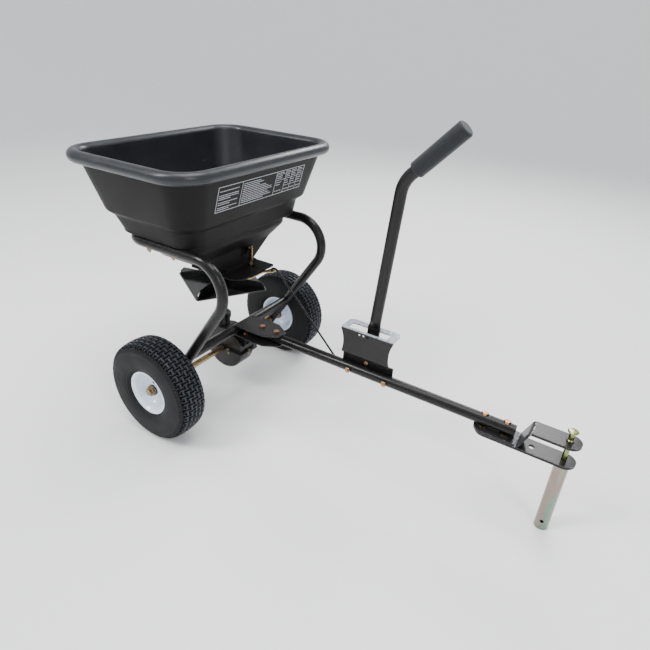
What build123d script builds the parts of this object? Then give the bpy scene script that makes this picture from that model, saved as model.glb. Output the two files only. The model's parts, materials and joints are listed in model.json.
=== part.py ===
"""Tow-behind broadcast spreader for lawns and gardens.

A plastic hopper sits on a bent tube frame over a driven axle. A crown gear on the axle turns an
upright shaft with a vaned impeller, and a hand lever on the drawbar slides a shutter under the
hopper. Millimetres, +X towards the hitch, +Y to the left wheel, +Z up. The origin is on the
ground under the middle of the object.
"""

import os
from math import cos, radians, sin, sqrt, tan

from build123d import *

# ---------------------------------------------------------------- driving sizes
# fits
turn_gap = 0.06        # radial clearance of a turning or sliding fit
seat_gap = 0.05        # clearance of a piece seated inside another of the same body
bolt_gap = 0.3         # radial clearance of a bolt in its hole
free_gap = 0.3         # space between parts that move past each other

# wheels and axle
tyre_radius = 130.0
tyre_width = 82.0
tyre_wall = 5.0
track = 518.4
rim_seat_radius = 50.0
rim_flange_radius = 57.0
rim_width = 65.0
rim_sheet = 2.0
hub_radius = 14.5
hub_wall = 3.0
hub_out = 14.0         # hub length outboard of the wheel's middle plane
hub_in = 30.0          # hub length inboard of it
bush_flange = 3.0
axle_radius = 8.0

# bent side tubes and cross tube
tube_radius = 12.7
tube_wall = 1.6
side_tube_y = 197.0
side_lean = 34.0       # degrees from upright
side_bend = 73.4
top_run_height = 343.0  # above the axle
rear_bend = 60.0
rear_reach = 132.0     # rear tube behind the axle
tube_below_axle = 16.0

# drawbar and gussets
drawbar_height = 80.0  # above the axle
drawbar_front = 785.0  # ahead of the axle
plate_sheet = 3.0
gusset_half_rear = 36.0
gusset_half_wide = 39.0
gusset_half_front = 14.0
gusset_bolt_xs = (121.0, 166.0)

# hitch
hitch_pin_x = 886.0    # ahead of the axle
strap_sheet = 6.0
strap_width = 47.0
strap_rear = 700.0
strap_bend_x = 797.0
spacer_height = 3.0
clevis_gap = 42.0
hitch_bolt_xs = (719.0, 766.0)
pin_radius = 5.5
pin_head_radius = 10.5
pin_above_ear = 22.0
stand_radius = 14.5
stand_wall = 1.8
stand_hole_radius = 4.0
tongue_hole_x = 823.0

# lever and its bracket
bracket_sheet = 2.5
bracket_x = 427.0      # middle of the bracket
bracket_length = 134.0
bracket_top = 187.0    # above the axle
bracket_flange = 47.0
slot_length = 100.0
slot_width = 25.0
lever_pivot_x = 425.5
lever_pivot_height = 98.5
lever_radius = 13.0
lever_wall = 1.5
lever_lean = 4.3       # degrees forward of upright
lever_rise = 439.0     # pivot to bend
lever_bend_angle = 43.5
lever_top_run = 158.0
lever_bend_radius = 65.0
lever_strap_sheet = 5.0
lever_strap_width = 30.0
lever_tail = 28.0      # rod hole below the pivot
grip_length = 126.0
grip_radius = 18.0

# hopper
hopper_wall = 3.0
rim_roll_radius = 14.0
rim_height = 528.0     # rolled edge's centre above the axle
rim_corner = 68.0
hopper_x = -41.6       # middle of the hopper's mouth from the axle
rim_half_x = 186.0
rim_half_y = 268.0
outlet_base = 246.0    # hopper's bottom above the axle

# impeller, shaft and gears
shaft_x = -18.0        # upright shaft from the axle
shaft_radius = 5.0
impeller_height = 187.0
impeller_radius = 132.0
impeller_turn = -165.5
vane_count = 4
vane_height = 18.0
crown_teeth = 40
pinion_teeth = 8
tooth_thickness = 2.4
gear_face = 8.0

# gearbox
case_x = 2.0
case_y = 4.0
case_radius = 61.0
case_half_width = 28.0
case_wall = 2.5
case_flange = 9.0
case_flange_sheet = 3.0
tower_radius = 19.0
tower_top = 84.0
tab_sheet = 4.0

# ---------------------------------------------------------------- places
tip_radius = strap_width / 2
front_reach = hitch_pin_x + tip_radius
rim_back = hopper_x - rim_half_x - rim_roll_radius
axle_x = -(front_reach + rim_back) / 2
axle_z = tyre_radius
wheel_y = track / 2

drawbar_z = axle_z + drawbar_height
lean_slope = tan(radians(side_lean))
cross_x = axle_x + drawbar_height * lean_slope
drawbar_rear_x = cross_x + tube_radius + 0.5
gusset_top_z = drawbar_z + tube_radius
gusset_low_z = drawbar_z - tube_radius - plate_sheet
pin_x = axle_x + hitch_pin_x
strap_top_z = drawbar_z - tube_radius - spacer_height
tongue_top_z = strap_top_z - strap_sheet
tongue_low_z = tongue_top_z - strap_sheet
ear_low_z = tongue_top_z + clevis_gap
ear_top_z = ear_low_z + strap_sheet
hopper_mid_x = axle_x + hopper_x
shaft_px = axle_x + shaft_x
pivot_x = axle_x + lever_pivot_x
pivot_z = axle_z + lever_pivot_height
top_run_z = axle_z + top_run_height


os.makedirs("parts", exist_ok=True)


def save(part, name):
    """Label a finished piece and write it."""
    part.label = name
    export_step(part, f"parts/{name}.step")


def hex_head(width, height, base_z=0.0):
    """A hexagonal prism across flats, standing on base_z with its top edge eased."""
    with BuildPart() as head:
        with BuildSketch(Plane.XY.offset(base_z)):
            RegularPolygon(width / sqrt(3), 6)
        extrude(amount=height)
        chamfer(head.faces().sort_by(Axis.Z)[-1].edges(), 0.6)
    return head.part


def bolt(radius, length, head_width, head_height):
    """A hex bolt: its head stands on z = 0 and its shank hangs below."""
    with BuildPart() as piece:
        add(hex_head(head_width, head_height))
        with BuildSketch():
            Circle(radius)
        extrude(amount=-length)
        chamfer(piece.faces().sort_by(Axis.Z)[0].edges(), 0.5)
    return piece.part


def nut(radius, width, height):
    """A hex nut hanging below z = 0, clear of its bolt."""
    with BuildPart() as piece:
        with BuildSketch():
            RegularPolygon(width / sqrt(3), 6)
            Circle(radius + seat_gap, mode=Mode.SUBTRACT)
        extrude(amount=-height)
        chamfer(piece.faces().sort_by(Axis.Z)[0].outer_wire().edges(), 0.6)
    return piece.part


def ring(outer, inner, thickness):
    """A flat washer standing on z = 0."""
    with BuildPart() as piece:
        with BuildSketch():
            Circle(outer)
            Circle(inner, mode=Mode.SUBTRACT)
        extrude(amount=thickness)
    return piece.part


def bent_tube(points, radii, outer, wall):
    """A tube along straight runs joined by tangent bends."""
    with BuildPart() as piece:
        with BuildLine() as path:
            FilletPolyline(*points, radius=radii)
        start = path.line @ 0
        with BuildSketch(Plane(origin=start, z_dir=path.line % 0)):
            Circle(outer)
            Circle(outer - wall, mode=Mode.SUBTRACT)
        sweep(path=path.line)
    return piece.part


# ---------------------------------------------------------------- frame tubes
top_corner_x = axle_x + top_run_height * lean_slope
foot_back = tube_below_axle * sin(radians(side_lean))
foot_down = tube_below_axle * cos(radians(side_lean))
rear_x = axle_x - rear_reach
hopper_bolt_xs = (axle_x - 54.0, axle_x + 24.0)
axle_bush_radius = axle_radius + 2.0

for side, name in ((1, "side_tube_left"), (-1, "side_tube_right")):
    y = side * side_tube_y
    route = [
        (axle_x - foot_back, y, axle_z - foot_down),
        (top_corner_x, y, top_run_z),
        (rear_x, y, top_run_z),
        (rear_x, side * (side_tube_y - rear_bend - 20), top_run_z),
    ]
    tube = bent_tube(route, [side_bend, rear_bend], tube_radius, tube_wall)
    with BuildPart() as side_tube:
        add(tube)
        with Locations(Location((axle_x, y, axle_z), (90, 0, 0))):
            Cylinder(axle_bush_radius, 4 * tube_radius, mode=Mode.SUBTRACT)
        for x in hopper_bolt_xs:
            with Locations((x, y, top_run_z)):
                Cylinder(3 + bolt_gap, 4 * tube_radius, mode=Mode.SUBTRACT)
    save(side_tube.part, name)

rear_half = side_tube_y - rear_bend - 20
with BuildPart() as rear_tube:
    with BuildSketch(Plane.XZ.offset(-rear_half)):
        with Locations((rear_x, top_run_z)):
            Circle(tube_radius)
            Circle(tube_radius - tube_wall, mode=Mode.SUBTRACT)
    extrude(amount=2 * rear_half)
save(rear_tube.part, "rear_tube")

with BuildPart() as cross_tube:
    with BuildSketch(Plane.XZ.offset(-side_tube_y)):
        with Locations((cross_x, drawbar_z)):
            Circle(tube_radius)
            Circle(tube_radius - tube_wall, mode=Mode.SUBTRACT)
    extrude(amount=2 * side_tube_y)
    for side in (1, -1):
        leg_plane = Plane(
            origin=(axle_x, side * side_tube_y, axle_z),
            x_dir=(0, 1, 0),
            z_dir=(sin(radians(side_lean)), 0, cos(radians(side_lean))),
        )
        with BuildSketch(leg_plane):
            Circle(tube_radius + seat_gap)
        extrude(amount=2 * drawbar_height, mode=Mode.SUBTRACT)
save(cross_tube.part, "cross_tube")

with BuildPart() as frame_bushes:
    for side in (1, -1):
        bush_in = side_tube_y - tube_radius
        bush_out = side_tube_y + tube_radius
        for low, high, outer in (
            (bush_in, bush_out, axle_bush_radius - seat_gap),
            (bush_in - 3, bush_in, axle_bush_radius + 4),
        ):
            with BuildSketch(Plane.XZ.offset(-side * low)):
                with Locations((axle_x, axle_z)):
                    Circle(outer)
                    Circle(axle_radius + turn_gap, mode=Mode.SUBTRACT)
            extrude(amount=-side * (high - low))
save(frame_bushes.part, "frame_axle_bushes")

# ---------------------------------------------------------------- drawbar and gussets
m8 = 4.0
m6 = 3.0
m4 = 2.0
bracket_bolt_xs = (axle_x + 391.0, axle_x + 487.0)
gusset_xs = [axle_x + x for x in gusset_bolt_xs]
hitch_xs = [axle_x + x for x in hitch_bolt_xs]
drawbar_front_x = axle_x + drawbar_front

with BuildPart() as drawbar:
    with BuildSketch(Plane.YZ.offset(drawbar_rear_x)):
        with Locations((0, drawbar_z)):
            Circle(tube_radius)
            Circle(tube_radius - tube_wall, mode=Mode.SUBTRACT)
    extrude(amount=drawbar_front_x - drawbar_rear_x)
    for x in (*gusset_xs, *hitch_xs):
        with Locations((x, 0, drawbar_z)):
            Cylinder(m8 + bolt_gap, 4 * tube_radius, mode=Mode.SUBTRACT)
    for x in bracket_bolt_xs:
        with Locations(Location((x, 0, drawbar_z), (90, 0, 0))):
            Cylinder(m8 + bolt_gap, 4 * tube_radius, mode=Mode.SUBTRACT)
save(drawbar.part, "drawbar")

gusset_rear_x = cross_x
gusset_wide_xs = (axle_x + 110.0, axle_x + 148.0)
gusset_front_x = axle_x + 186.0
case_bolt_x = axle_x + 78.0
case_bolt_y = 19.0
for name, z, extra_holes in (
    ("gusset_top", gusset_top_z, False),
    ("gusset_bottom", gusset_low_z, True),
):
    with BuildPart() as gusset:
        with BuildSketch(Plane.XY.offset(z)):
            with BuildLine():
                Polyline(
                    (gusset_rear_x, -gusset_half_rear),
                    (gusset_wide_xs[0], -gusset_half_wide),
                    (gusset_wide_xs[1], -gusset_half_wide + 2),
                    (gusset_front_x, -gusset_half_front),
                    (gusset_front_x, gusset_half_front),
                    (gusset_wide_xs[1], gusset_half_wide - 2),
                    (gusset_wide_xs[0], gusset_half_wide),
                    (gusset_rear_x, gusset_half_rear),
                    close=True,
                )
            make_face()
        extrude(amount=plate_sheet)
        fillet(gusset.edges().filter_by(Axis.Z), 4)
        with Locations([(x, 0, z + plate_sheet / 2) for x in gusset_xs]):
            Cylinder(m8 + bolt_gap, 2 * plate_sheet, mode=Mode.SUBTRACT)
        if extra_holes:
            with Locations([(case_bolt_x, s * case_bolt_y, z + plate_sheet / 2) for s in (1, -1)]):
                Cylinder(m6 + bolt_gap, 2 * plate_sheet, mode=Mode.SUBTRACT)
    save(gusset.part, name)

gusset_grip = gusset_top_z + plate_sheet - gusset_low_z
gusset_bolt = bolt(m8, gusset_grip + 11, 13, 5.3)
mount_bolt = bolt(m6, plate_sheet + tab_sheet + 8, 10, 4)
mount_places = [(case_bolt_x, s * case_bolt_y) for s in (1, -1)]
with BuildPart() as gusset_bolts:
    for x in gusset_xs:
        add(gusset_bolt.moved(Location((x, 0, gusset_top_z + plate_sheet))))
    for x, y in mount_places:
        add(mount_bolt.moved(Location((x, y, gusset_low_z + plate_sheet))))
save(gusset_bolts.part, "gusset_bolts")

m8_nut = nut(m8, 13, 6.5)
m6_nut = nut(m6, 10, 5)
with BuildPart() as gusset_nuts:
    for x in gusset_xs:
        add(m8_nut.moved(Location((x, 0, gusset_low_z))))
    for x, y in mount_places:
        add(m6_nut.moved(Location((x, y, gusset_low_z - tab_sheet))))
save(gusset_nuts.part, "gusset_nuts")

# ---------------------------------------------------------------- hitch
strap_rear_x = axle_x + strap_rear
strap_bend_px = axle_x + strap_bend_x
ear_bend_x = strap_bend_px + 18.0
tip_x = pin_x + tip_radius
tongue_hole_px = axle_x + tongue_hole_x

with BuildPart() as tongue_lower:
    with BuildSketch(Plane.XY.offset(tongue_low_z)):
        with Locations(((strap_rear_x + 4 + tip_x) / 2, 0)):
            SlotOverall(tip_x - strap_rear_x - 4, strap_width)
        with Locations([(x, 0) for x in hitch_xs]):
            Circle(m8 + bolt_gap, mode=Mode.SUBTRACT)
        with Locations((tongue_hole_px, 0)):
            Circle(6.5, mode=Mode.SUBTRACT)
        with Locations((pin_x, 0)):
            Circle(pin_radius + turn_gap, mode=Mode.SUBTRACT)
    extrude(amount=strap_sheet)
save(tongue_lower.part, "hitch_tongue_lower")

flange_mid_z = strap_top_z - strap_sheet / 2
ear_mid_z = ear_low_z + strap_sheet / 2
with BuildPart() as tongue_upper:
    with BuildLine() as strap_path:
        FilletPolyline(
            (strap_rear_x, 0, flange_mid_z),
            (strap_bend_px, 0, flange_mid_z),
            (ear_bend_x, 0, ear_mid_z),
            (tip_x, 0, ear_mid_z),
            radius=7,
        )
    with BuildSketch(Plane(origin=strap_path.line @ 0, x_dir=(0, 1, 0), z_dir=(1, 0, 0))):
        Rectangle(strap_width, strap_sheet)
    sweep(path=strap_path.line)
    with BuildSketch(Plane.XY.offset(tongue_low_z)):
        with Locations(((strap_rear_x + tip_x) / 2, 0)):
            SlotOverall(tip_x - strap_rear_x, strap_width)
    extrude(amount=2 * clevis_gap, mode=Mode.INTERSECT)
    with Locations([(x, 0, flange_mid_z) for x in hitch_xs]):
        Cylinder(m8 + bolt_gap, 2 * strap_sheet, mode=Mode.SUBTRACT)
    with Locations((pin_x, 0, ear_mid_z)):
        Cylinder(pin_radius + turn_gap, 2 * strap_sheet, mode=Mode.SUBTRACT)
save(tongue_upper.part, "hitch_tongue_upper")

spacer = ring(10.0, m8 + bolt_gap, spacer_height)
with BuildPart() as hitch_spacers:
    for x in hitch_xs:
        add(spacer.moved(Location((x, 0, strap_top_z))))
save(hitch_spacers.part, "hitch_spacers")

hitch_grip = drawbar_z + tube_radius - tongue_low_z
hitch_bolt = bolt(m8, hitch_grip + 10, 13, 5.3)
with BuildPart() as hitch_bolts:
    for x in hitch_xs:
        add(hitch_bolt.moved(Location((x, 0, drawbar_z + tube_radius))))
save(hitch_bolts.part, "hitch_bolts")
with BuildPart() as hitch_nuts:
    for x in hitch_xs:
        add(m8_nut.moved(Location((x, 0, tongue_low_z))))
save(hitch_nuts.part, "hitch_nuts")

pin_top_z = ear_top_z + pin_above_ear
pin_tip_z = tongue_low_z - 20.0
with BuildPart() as hitch_pin:
    with BuildSketch(Plane.XZ):
        with BuildLine():
            Polyline(
                (pin_x, pin_tip_z),
                (pin_x + pin_radius - 2, pin_tip_z),
                (pin_x + pin_radius, pin_tip_z + 3),
                (pin_x + pin_radius, ear_top_z),
                (pin_x + pin_radius + 2, ear_top_z),
                (pin_x + pin_radius + 2, ear_top_z + 3),
                (pin_x + pin_radius, ear_top_z + 5),
                (pin_x + pin_radius, pin_top_z),
                (pin_x + pin_head_radius - 1, pin_top_z),
                (pin_x + pin_head_radius, pin_top_z + 1),
                (pin_x + pin_head_radius, pin_top_z + 2.5),
                (pin_x + pin_head_radius - 2, pin_top_z + 4),
                (pin_x, pin_top_z + 4.5),
                close=True,
            )
        make_face()
    revolve(axis=Axis((pin_x, 0, 0), (0, 0, 1)))
save(hitch_pin.part, "hitch_pin")

stand_top_z = tongue_low_z - seat_gap
stand_cap = 3.0
with BuildPart() as stand_tube:
    with BuildSketch():
        with Locations((pin_x, 0)):
            Circle(stand_radius)
            Circle(stand_radius - stand_wall, mode=Mode.SUBTRACT)
    extrude(amount=stand_top_z)
    with BuildSketch(Plane.XY.offset(stand_top_z - stand_cap)):
        with Locations((pin_x, 0)):
            Circle(stand_radius)
            Circle(pin_radius + turn_gap, mode=Mode.SUBTRACT)
    extrude(amount=stand_cap)
    with Locations(Location((pin_x, 0, 24), (90, 0, 0))):
        Cylinder(stand_hole_radius, 4 * stand_radius, mode=Mode.SUBTRACT)
save(stand_tube.part, "stand_tube")

# ---------------------------------------------------------------- lever bracket
bracket_px = axle_x + bracket_x
low_plate_y = tube_radius + bracket_sheet / 2 + 0.1
high_plate_y = -6.2
bracket_top_z = axle_z + bracket_top
low_edge_z = drawbar_z - 11.0
joggle_z = axle_z + 107.0
waist_deep = 8.0
waist_half = 36.0
waist_radius = (waist_half**2 + waist_deep**2) / (2 * waist_deep)
waist_z = axle_z + 145.0
slot_mid_y = 10.5
edge_x = bracket_length / 2

with BuildPart() as lever_bracket:
    with BuildLine() as sheet_path:
        FilletPolyline(
            (bracket_px, low_plate_y, low_edge_z),
            (bracket_px, low_plate_y, joggle_z),
            (bracket_px, high_plate_y, joggle_z + 14),
            (bracket_px, high_plate_y, bracket_top_z - bracket_sheet / 2),
            (bracket_px, high_plate_y + bracket_flange, bracket_top_z - bracket_sheet / 2),
            radius=4,
        )
    with BuildSketch(Plane(origin=sheet_path.line @ 0, x_dir=(1, 0, 0), z_dir=(0, 0, 1))):
        Rectangle(bracket_length, bracket_sheet)
    sweep(path=sheet_path.line)
    far_edges = lever_bracket.edges().filter_by(Axis.Z).group_by(Axis.Y)[-1]
    fillet(far_edges, 14)
    for side in (1, -1):
        waist_x = bracket_px + side * (edge_x - waist_deep + waist_radius)
        with Locations(Location((waist_x, 0, waist_z), (90, 0, 0))):
            Cylinder(waist_radius, 60, mode=Mode.SUBTRACT)
    with BuildSketch(Plane.XY.offset(bracket_top_z)):
        with Locations((bracket_px - 2, slot_mid_y)):
            RectangleRounded(slot_length, slot_width, 6)
    extrude(amount=-2 * bracket_sheet, mode=Mode.SUBTRACT)
    for step in range(-2, 3):
        hole_place = (bracket_px + 2 + step * 10.5, high_plate_y, bracket_top_z - 9)
        with Locations(Location(hole_place, (90, 0, 0))):
            Cylinder(2.6, 4 * bracket_sheet, mode=Mode.SUBTRACT)
    for x in bracket_bolt_xs:
        with Locations(Location((x, low_plate_y, drawbar_z), (90, 0, 0))):
            Cylinder(m8 + bolt_gap, 4 * bracket_sheet, mode=Mode.SUBTRACT)
    with Locations(Location((pivot_x, low_plate_y, pivot_z), (90, 0, 0))):
        Cylinder(m6 + bolt_gap, 4 * bracket_sheet, mode=Mode.SUBTRACT)
save(lever_bracket.part, "lever_bracket")

far_face_y = low_plate_y + bracket_sheet / 2
bracket_bolt = bolt(m8, far_face_y + tube_radius + 9, 13, 5.0)
facing_left = (-90, 0, 0)
with BuildPart() as bracket_bolts:
    for x in bracket_bolt_xs:
        add(bracket_bolt.moved(Location((x, far_face_y, drawbar_z), facing_left)))
save(bracket_bolts.part, "bracket_bolts")
with BuildPart() as bracket_nuts:
    for x in bracket_bolt_xs:
        add(m8_nut.moved(Location((x, -tube_radius, drawbar_z), facing_left)))
save(bracket_nuts.part, "bracket_nuts")

# ---------------------------------------------------------------- lever, grip and pivot bolt
strap_y = far_face_y + free_gap
lever_y = strap_y + lever_strap_sheet / 2
lean = radians(lever_lean)
top_turn = radians(lever_bend_angle)
along = (sin(lean), 0, cos(lean))


def on_lever(distance):
    """The point on the lever's lower run at a distance from the pivot."""
    return (pivot_x + distance * sin(lean), lever_y, pivot_z + distance * cos(lean))


round_start = 116.0
flat_end = 98.0
bend_point = on_lever(lever_rise)
top_point = (
    bend_point[0] + lever_top_run * sin(top_turn),
    lever_y,
    bend_point[2] + lever_top_run * cos(top_turn),
)
tail_half = 9.0
rod_radius = 2.5
rod_slot_half = 2.2

with BuildPart() as lever_tube:
    with BuildLine() as lever_path:
        FilletPolyline(on_lever(round_start), bend_point, top_point, radius=lever_bend_radius)
    with BuildSketch(Plane(origin=lever_path.line @ 0, z_dir=lever_path.line % 0)):
        Circle(lever_radius)
        Circle(lever_radius - lever_wall, mode=Mode.SUBTRACT)
    sweep(path=lever_path.line)
    lower = Plane(origin=on_lever(flat_end), x_dir=(cos(lean), 0, -sin(lean)), z_dir=along)
    upper = Plane(origin=on_lever(round_start), x_dir=(cos(lean), 0, -sin(lean)), z_dir=along)
    with BuildSketch(lower):
        RectangleRounded(lever_strap_width, lever_strap_sheet, 2.4)
    with BuildSketch(upper):
        Circle(lever_radius)
    loft()
    strap_face = Plane(origin=(pivot_x, strap_y, pivot_z), x_dir=(cos(lean), 0, -sin(lean)), z_dir=(0, 1, 0))
    with BuildSketch(strap_face):
        with BuildLine():
            Polyline(
                (lever_strap_width / 2, -flat_end),
                (lever_strap_width / 2, -12),
                (tail_half, lever_tail),
                (-tail_half, lever_tail),
                (-lever_strap_width / 2, -12),
                (-lever_strap_width / 2, -flat_end),
                close=True,
            )
        make_face()
        with Locations((0, lever_tail)):
            Circle(tail_half)
        Circle(m6 + turn_gap, mode=Mode.SUBTRACT)
        with Locations((0, lever_tail)):
            SlotCenterToCenter(
                2 * rod_slot_half, 2 * (rod_radius + 1), rotation=90, mode=Mode.SUBTRACT
            )
    extrude(amount=lever_strap_sheet)
save(lever_tube.part, "lever_tube")

grip_end = 4.0
top_dir = (sin(top_turn), 0, cos(top_turn))
grip_start = tuple(top_point[i] - (grip_length - grip_end) * top_dir[i] for i in range(3))
with BuildPart() as lever_grip:
    with BuildSketch(Plane(origin=grip_start, z_dir=top_dir)):
        Circle(grip_radius)
    extrude(amount=grip_length)
    fillet(lever_grip.faces().sort_by(Axis.Z)[-1].edges(), 4)
    with BuildSketch(Plane(origin=grip_start, z_dir=top_dir)):
        Circle(lever_radius + seat_gap)
    extrude(amount=grip_length - grip_end + seat_gap, mode=Mode.SUBTRACT)
save(lever_grip.part, "lever_grip")

near_face_y = low_plate_y - bracket_sheet / 2
pivot_bolt_piece = bolt(m6, strap_y + lever_strap_sheet - near_face_y + 8, 10, 4.5)
facing_right = (90, 0, 0)
with BuildPart() as pivot_bolt:
    add(pivot_bolt_piece.moved(Location((pivot_x, near_face_y, pivot_z), facing_right)))
save(pivot_bolt.part, "lever_pivot_bolt")
with BuildPart() as pivot_nut:
    nut_y = strap_y + lever_strap_sheet + free_gap
    add(nut(m6, 10, 6).moved(Location((pivot_x, nut_y, pivot_z), facing_right)))
save(pivot_nut.part, "lever_pivot_nut")

# ---------------------------------------------------------------- hopper
ledge_z = top_run_z + tube_radius + 0.3
base_z = axle_z + outlet_base


def section(height, low_x, high_x, half_y, corner):
    """One level of the hopper's outside, from sizes measured about the axle."""
    return (axle_z + height, axle_x + (low_x + high_x) / 2, (high_x - low_x) / 2, half_y, corner)


upper_sections = (
    section(514.5, -220.8, 137.6, 259.7, 72),
    section(407.0, -190.2, 107.8, 229.5, 60),
    section(396.0, -177.3, 92.7, 216.0, 56),
    section(362.0, -157.5, 88.5, 206.0, 52),
)
lower_sections = (
    section(333.0, -111.0, 71.0, 182.0, 48),
    section(298.0, -95.0, 44.0, 152.0, 40),
    section(outlet_base, -48.0, 44.0, 62.0, 20),
)


def level(step, inset, height):
    """Sketch one rounded rectangle of the hopper, inset from the outside."""
    z, mid_x, half_x, half_y, corner = step
    with BuildSketch(Plane.XY.offset(height)) as outline:
        with Locations((mid_x, 0)):
            RectangleRounded(2 * (half_x - inset), 2 * (half_y - inset), corner - inset)
    return outline.sketch


def hopper_block(inset, floor_rise, top_z):
    """The hopper's outside, or its hollow when inset, as one block."""
    with BuildPart() as block:
        for step in upper_sections:
            add(level(step, inset, step[0]))
        loft(ruled=True)
        add(level(upper_sections[-1], inset, upper_sections[-1][0]))
        extrude(amount=-(upper_sections[-1][0] - ledge_z - floor_rise))
        add(level(upper_sections[0], inset, upper_sections[0][0]))
        extrude(amount=top_z - upper_sections[0][0])
        add(level(lower_sections[0], inset, lower_sections[0][0]))
        extrude(amount=ledge_z + floor_rise - lower_sections[0][0])
        for step in lower_sections:
            add(level(step, inset, step[0]))
        loft(ruled=True)
    return block.part


rim_z = axle_z + rim_height
roll_wall = 3.0
wall_top_z = rim_z - 0.57 * rim_roll_radius
outlet_flange = 3.0
base_screws = ((-54, 50), (-54, -50), (20, 67), (20, -67))
base_screw_places = [(axle_x + x, y) for x, y in base_screws]
bolt_ys = (side_tube_y, -side_tube_y)

with BuildSketch(Plane.XY.offset(rim_z)) as rim_outline:
    with Locations((hopper_mid_x, 0)):
        RectangleRounded(2 * rim_half_x, 2 * rim_half_y, rim_corner)
rim_path = rim_outline.sketch.faces()[0].outer_wire()
with BuildPart() as rim_roll:
    with BuildSketch(Plane(origin=rim_path @ 0, z_dir=rim_path % 0)):
        Circle(rim_roll_radius)
        Circle(rim_roll_radius - roll_wall, mode=Mode.SUBTRACT)
    sweep(path=rim_path)

hopper_outside = hopper_block(0, 0, wall_top_z)
hopper_inside = hopper_block(hopper_wall, hopper_wall, wall_top_z + 1)
with BuildPart() as hopper:
    add(hopper_outside)
    with BuildSketch(Plane.XY.offset(base_z)):
        with Locations((axle_x - 5.5, 0)):
            RectangleRounded(109, 144, 12)
    extrude(amount=outlet_flange)
    add(hopper_inside, mode=Mode.SUBTRACT)
    add(rim_roll.part)
    with Locations([(x, y, ledge_z) for x in hopper_bolt_xs for y in bolt_ys]):
        Cylinder(m6 + bolt_gap, 6 * hopper_wall, mode=Mode.SUBTRACT)
    with Locations([(x, y, base_z) for x, y in base_screw_places]):
        Cylinder(m4 + seat_gap, 6 * outlet_flange, mode=Mode.SUBTRACT)
save(hopper.part, "hopper")

ledge_top_z = ledge_z + hopper_wall
hopper_bolt = bolt(m6, ledge_top_z - top_run_z + tube_radius + 9, 8.5, 4)
with BuildPart() as hopper_bolts:
    for x in hopper_bolt_xs:
        for y in bolt_ys:
            add(hopper_bolt.moved(Location((x, y, ledge_top_z))))
save(hopper_bolts.part, "hopper_bolts")
with BuildPart() as hopper_nuts:
    for x in hopper_bolt_xs:
        for y in bolt_ys:
            add(m6_nut.moved(Location((x, y, top_run_z - tube_radius))))
save(hopper_nuts.part, "hopper_nuts")

# ---------------------------------------------------------------- base plate, shutter and guides
base_sheet = 3.0
outlet_x = (12.0, 30.0)
outlet_half_y = 30.0
arm_x = 62.0
arm_y = 24.0
arm_height = 298.0
finger_radius = 3.0
slide_back = 7.4       # shutter travel towards the wheels, outlet fully open
slide_out = 11.3       # travel towards the hitch, outlet shut
window_shift = slide_back
base_low_z = base_z - base_sheet
shutter_top_z = base_low_z - free_gap
shutter_low_z = shutter_top_z - base_sheet
shutter_half_y = 34.0
ear_hole = (116.0, 44.0)
guide_lip = 4.0

with BuildPart() as base_plate:
    with BuildSketch(Plane.XY.offset(base_low_z)) as plate_outline:
        with BuildLine():
            Polyline(
                (axle_x - 60, -72),
                (axle_x + 103, -72),
                (axle_x + 103, 72),
                (axle_x - 60, 72),
                close=True,
            )
        make_face()
        corners = plate_outline.vertices()
        fillet(corners.sort_by_distance((axle_x + 103, -72)).first, 34)
        fillet(plate_outline.vertices().sort_by_distance((axle_x + 103, 72)).first, 8)
        fillet(plate_outline.vertices().group_by(Axis.X)[0], 12)
        with Locations((axle_x + sum(outlet_x) / 2, 0)):
            RectangleRounded(outlet_x[1] - outlet_x[0], 2 * outlet_half_y, 3, mode=Mode.SUBTRACT)
        finger_slot = slide_back + slide_out + 2 * finger_radius + 2
        with Locations((axle_x + arm_x + (slide_out - slide_back) / 2, arm_y)):
            SlotOverall(finger_slot, 2 * finger_radius + 1, mode=Mode.SUBTRACT)
        with Locations((shaft_px, 0)):
            Circle(shaft_radius + free_gap, mode=Mode.SUBTRACT)
        with Locations(base_screw_places):
            Circle(m4 + bolt_gap, mode=Mode.SUBTRACT)
    extrude(amount=base_sheet)
save(base_plate.part, "base_plate")

base_screw = bolt(m4, base_sheet + outlet_flange + 3, 7, 2.8)
head_down = (180, 0, 0)
with BuildPart() as base_screw_set:
    for x, y in base_screw_places:
        add(base_screw.moved(Location((x, y, base_low_z), head_down)))
save(base_screw_set.part, "base_plate_screws")

notch_gap = 2.5
notch_end_x = axle_x + shaft_x + slide_back + shaft_radius + notch_gap
with BuildPart() as shutter_plate:
    with BuildSketch(Plane.XY.offset(shutter_low_z)):
        with BuildLine():
            Polyline(
                (axle_x - 38, -shutter_half_y),
                (axle_x + 100, -shutter_half_y),
                (axle_x + 106, -shutter_half_y + 6),
                (axle_x + 106, 20),
                (axle_x + 124, 36),
                (axle_x + 124, 52),
                (axle_x + 107, 52),
                (axle_x + 104, shutter_half_y),
                (axle_x - 38, shutter_half_y),
                close=True,
            )
        make_face()
        with Locations((axle_x + sum(outlet_x) / 2 + window_shift, 0)):
            RectangleRounded(outlet_x[1] - outlet_x[0], 2 * outlet_half_y, 3, mode=Mode.SUBTRACT)
        with Locations((notch_end_x - 40, 0)):
            SlotOverall(80, 2 * (shaft_radius + notch_gap), mode=Mode.SUBTRACT)
        with Locations((axle_x + arm_x, arm_y)):
            Rectangle(2 * finger_radius + 2, 2 * finger_radius + 0.6, mode=Mode.SUBTRACT)
        with Locations((axle_x + ear_hole[0], ear_hole[1])):
            Circle(rod_radius + seat_gap, mode=Mode.SUBTRACT)
    extrude(amount=base_sheet)
save(shutter_plate.part, "shutter_plate")

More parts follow.
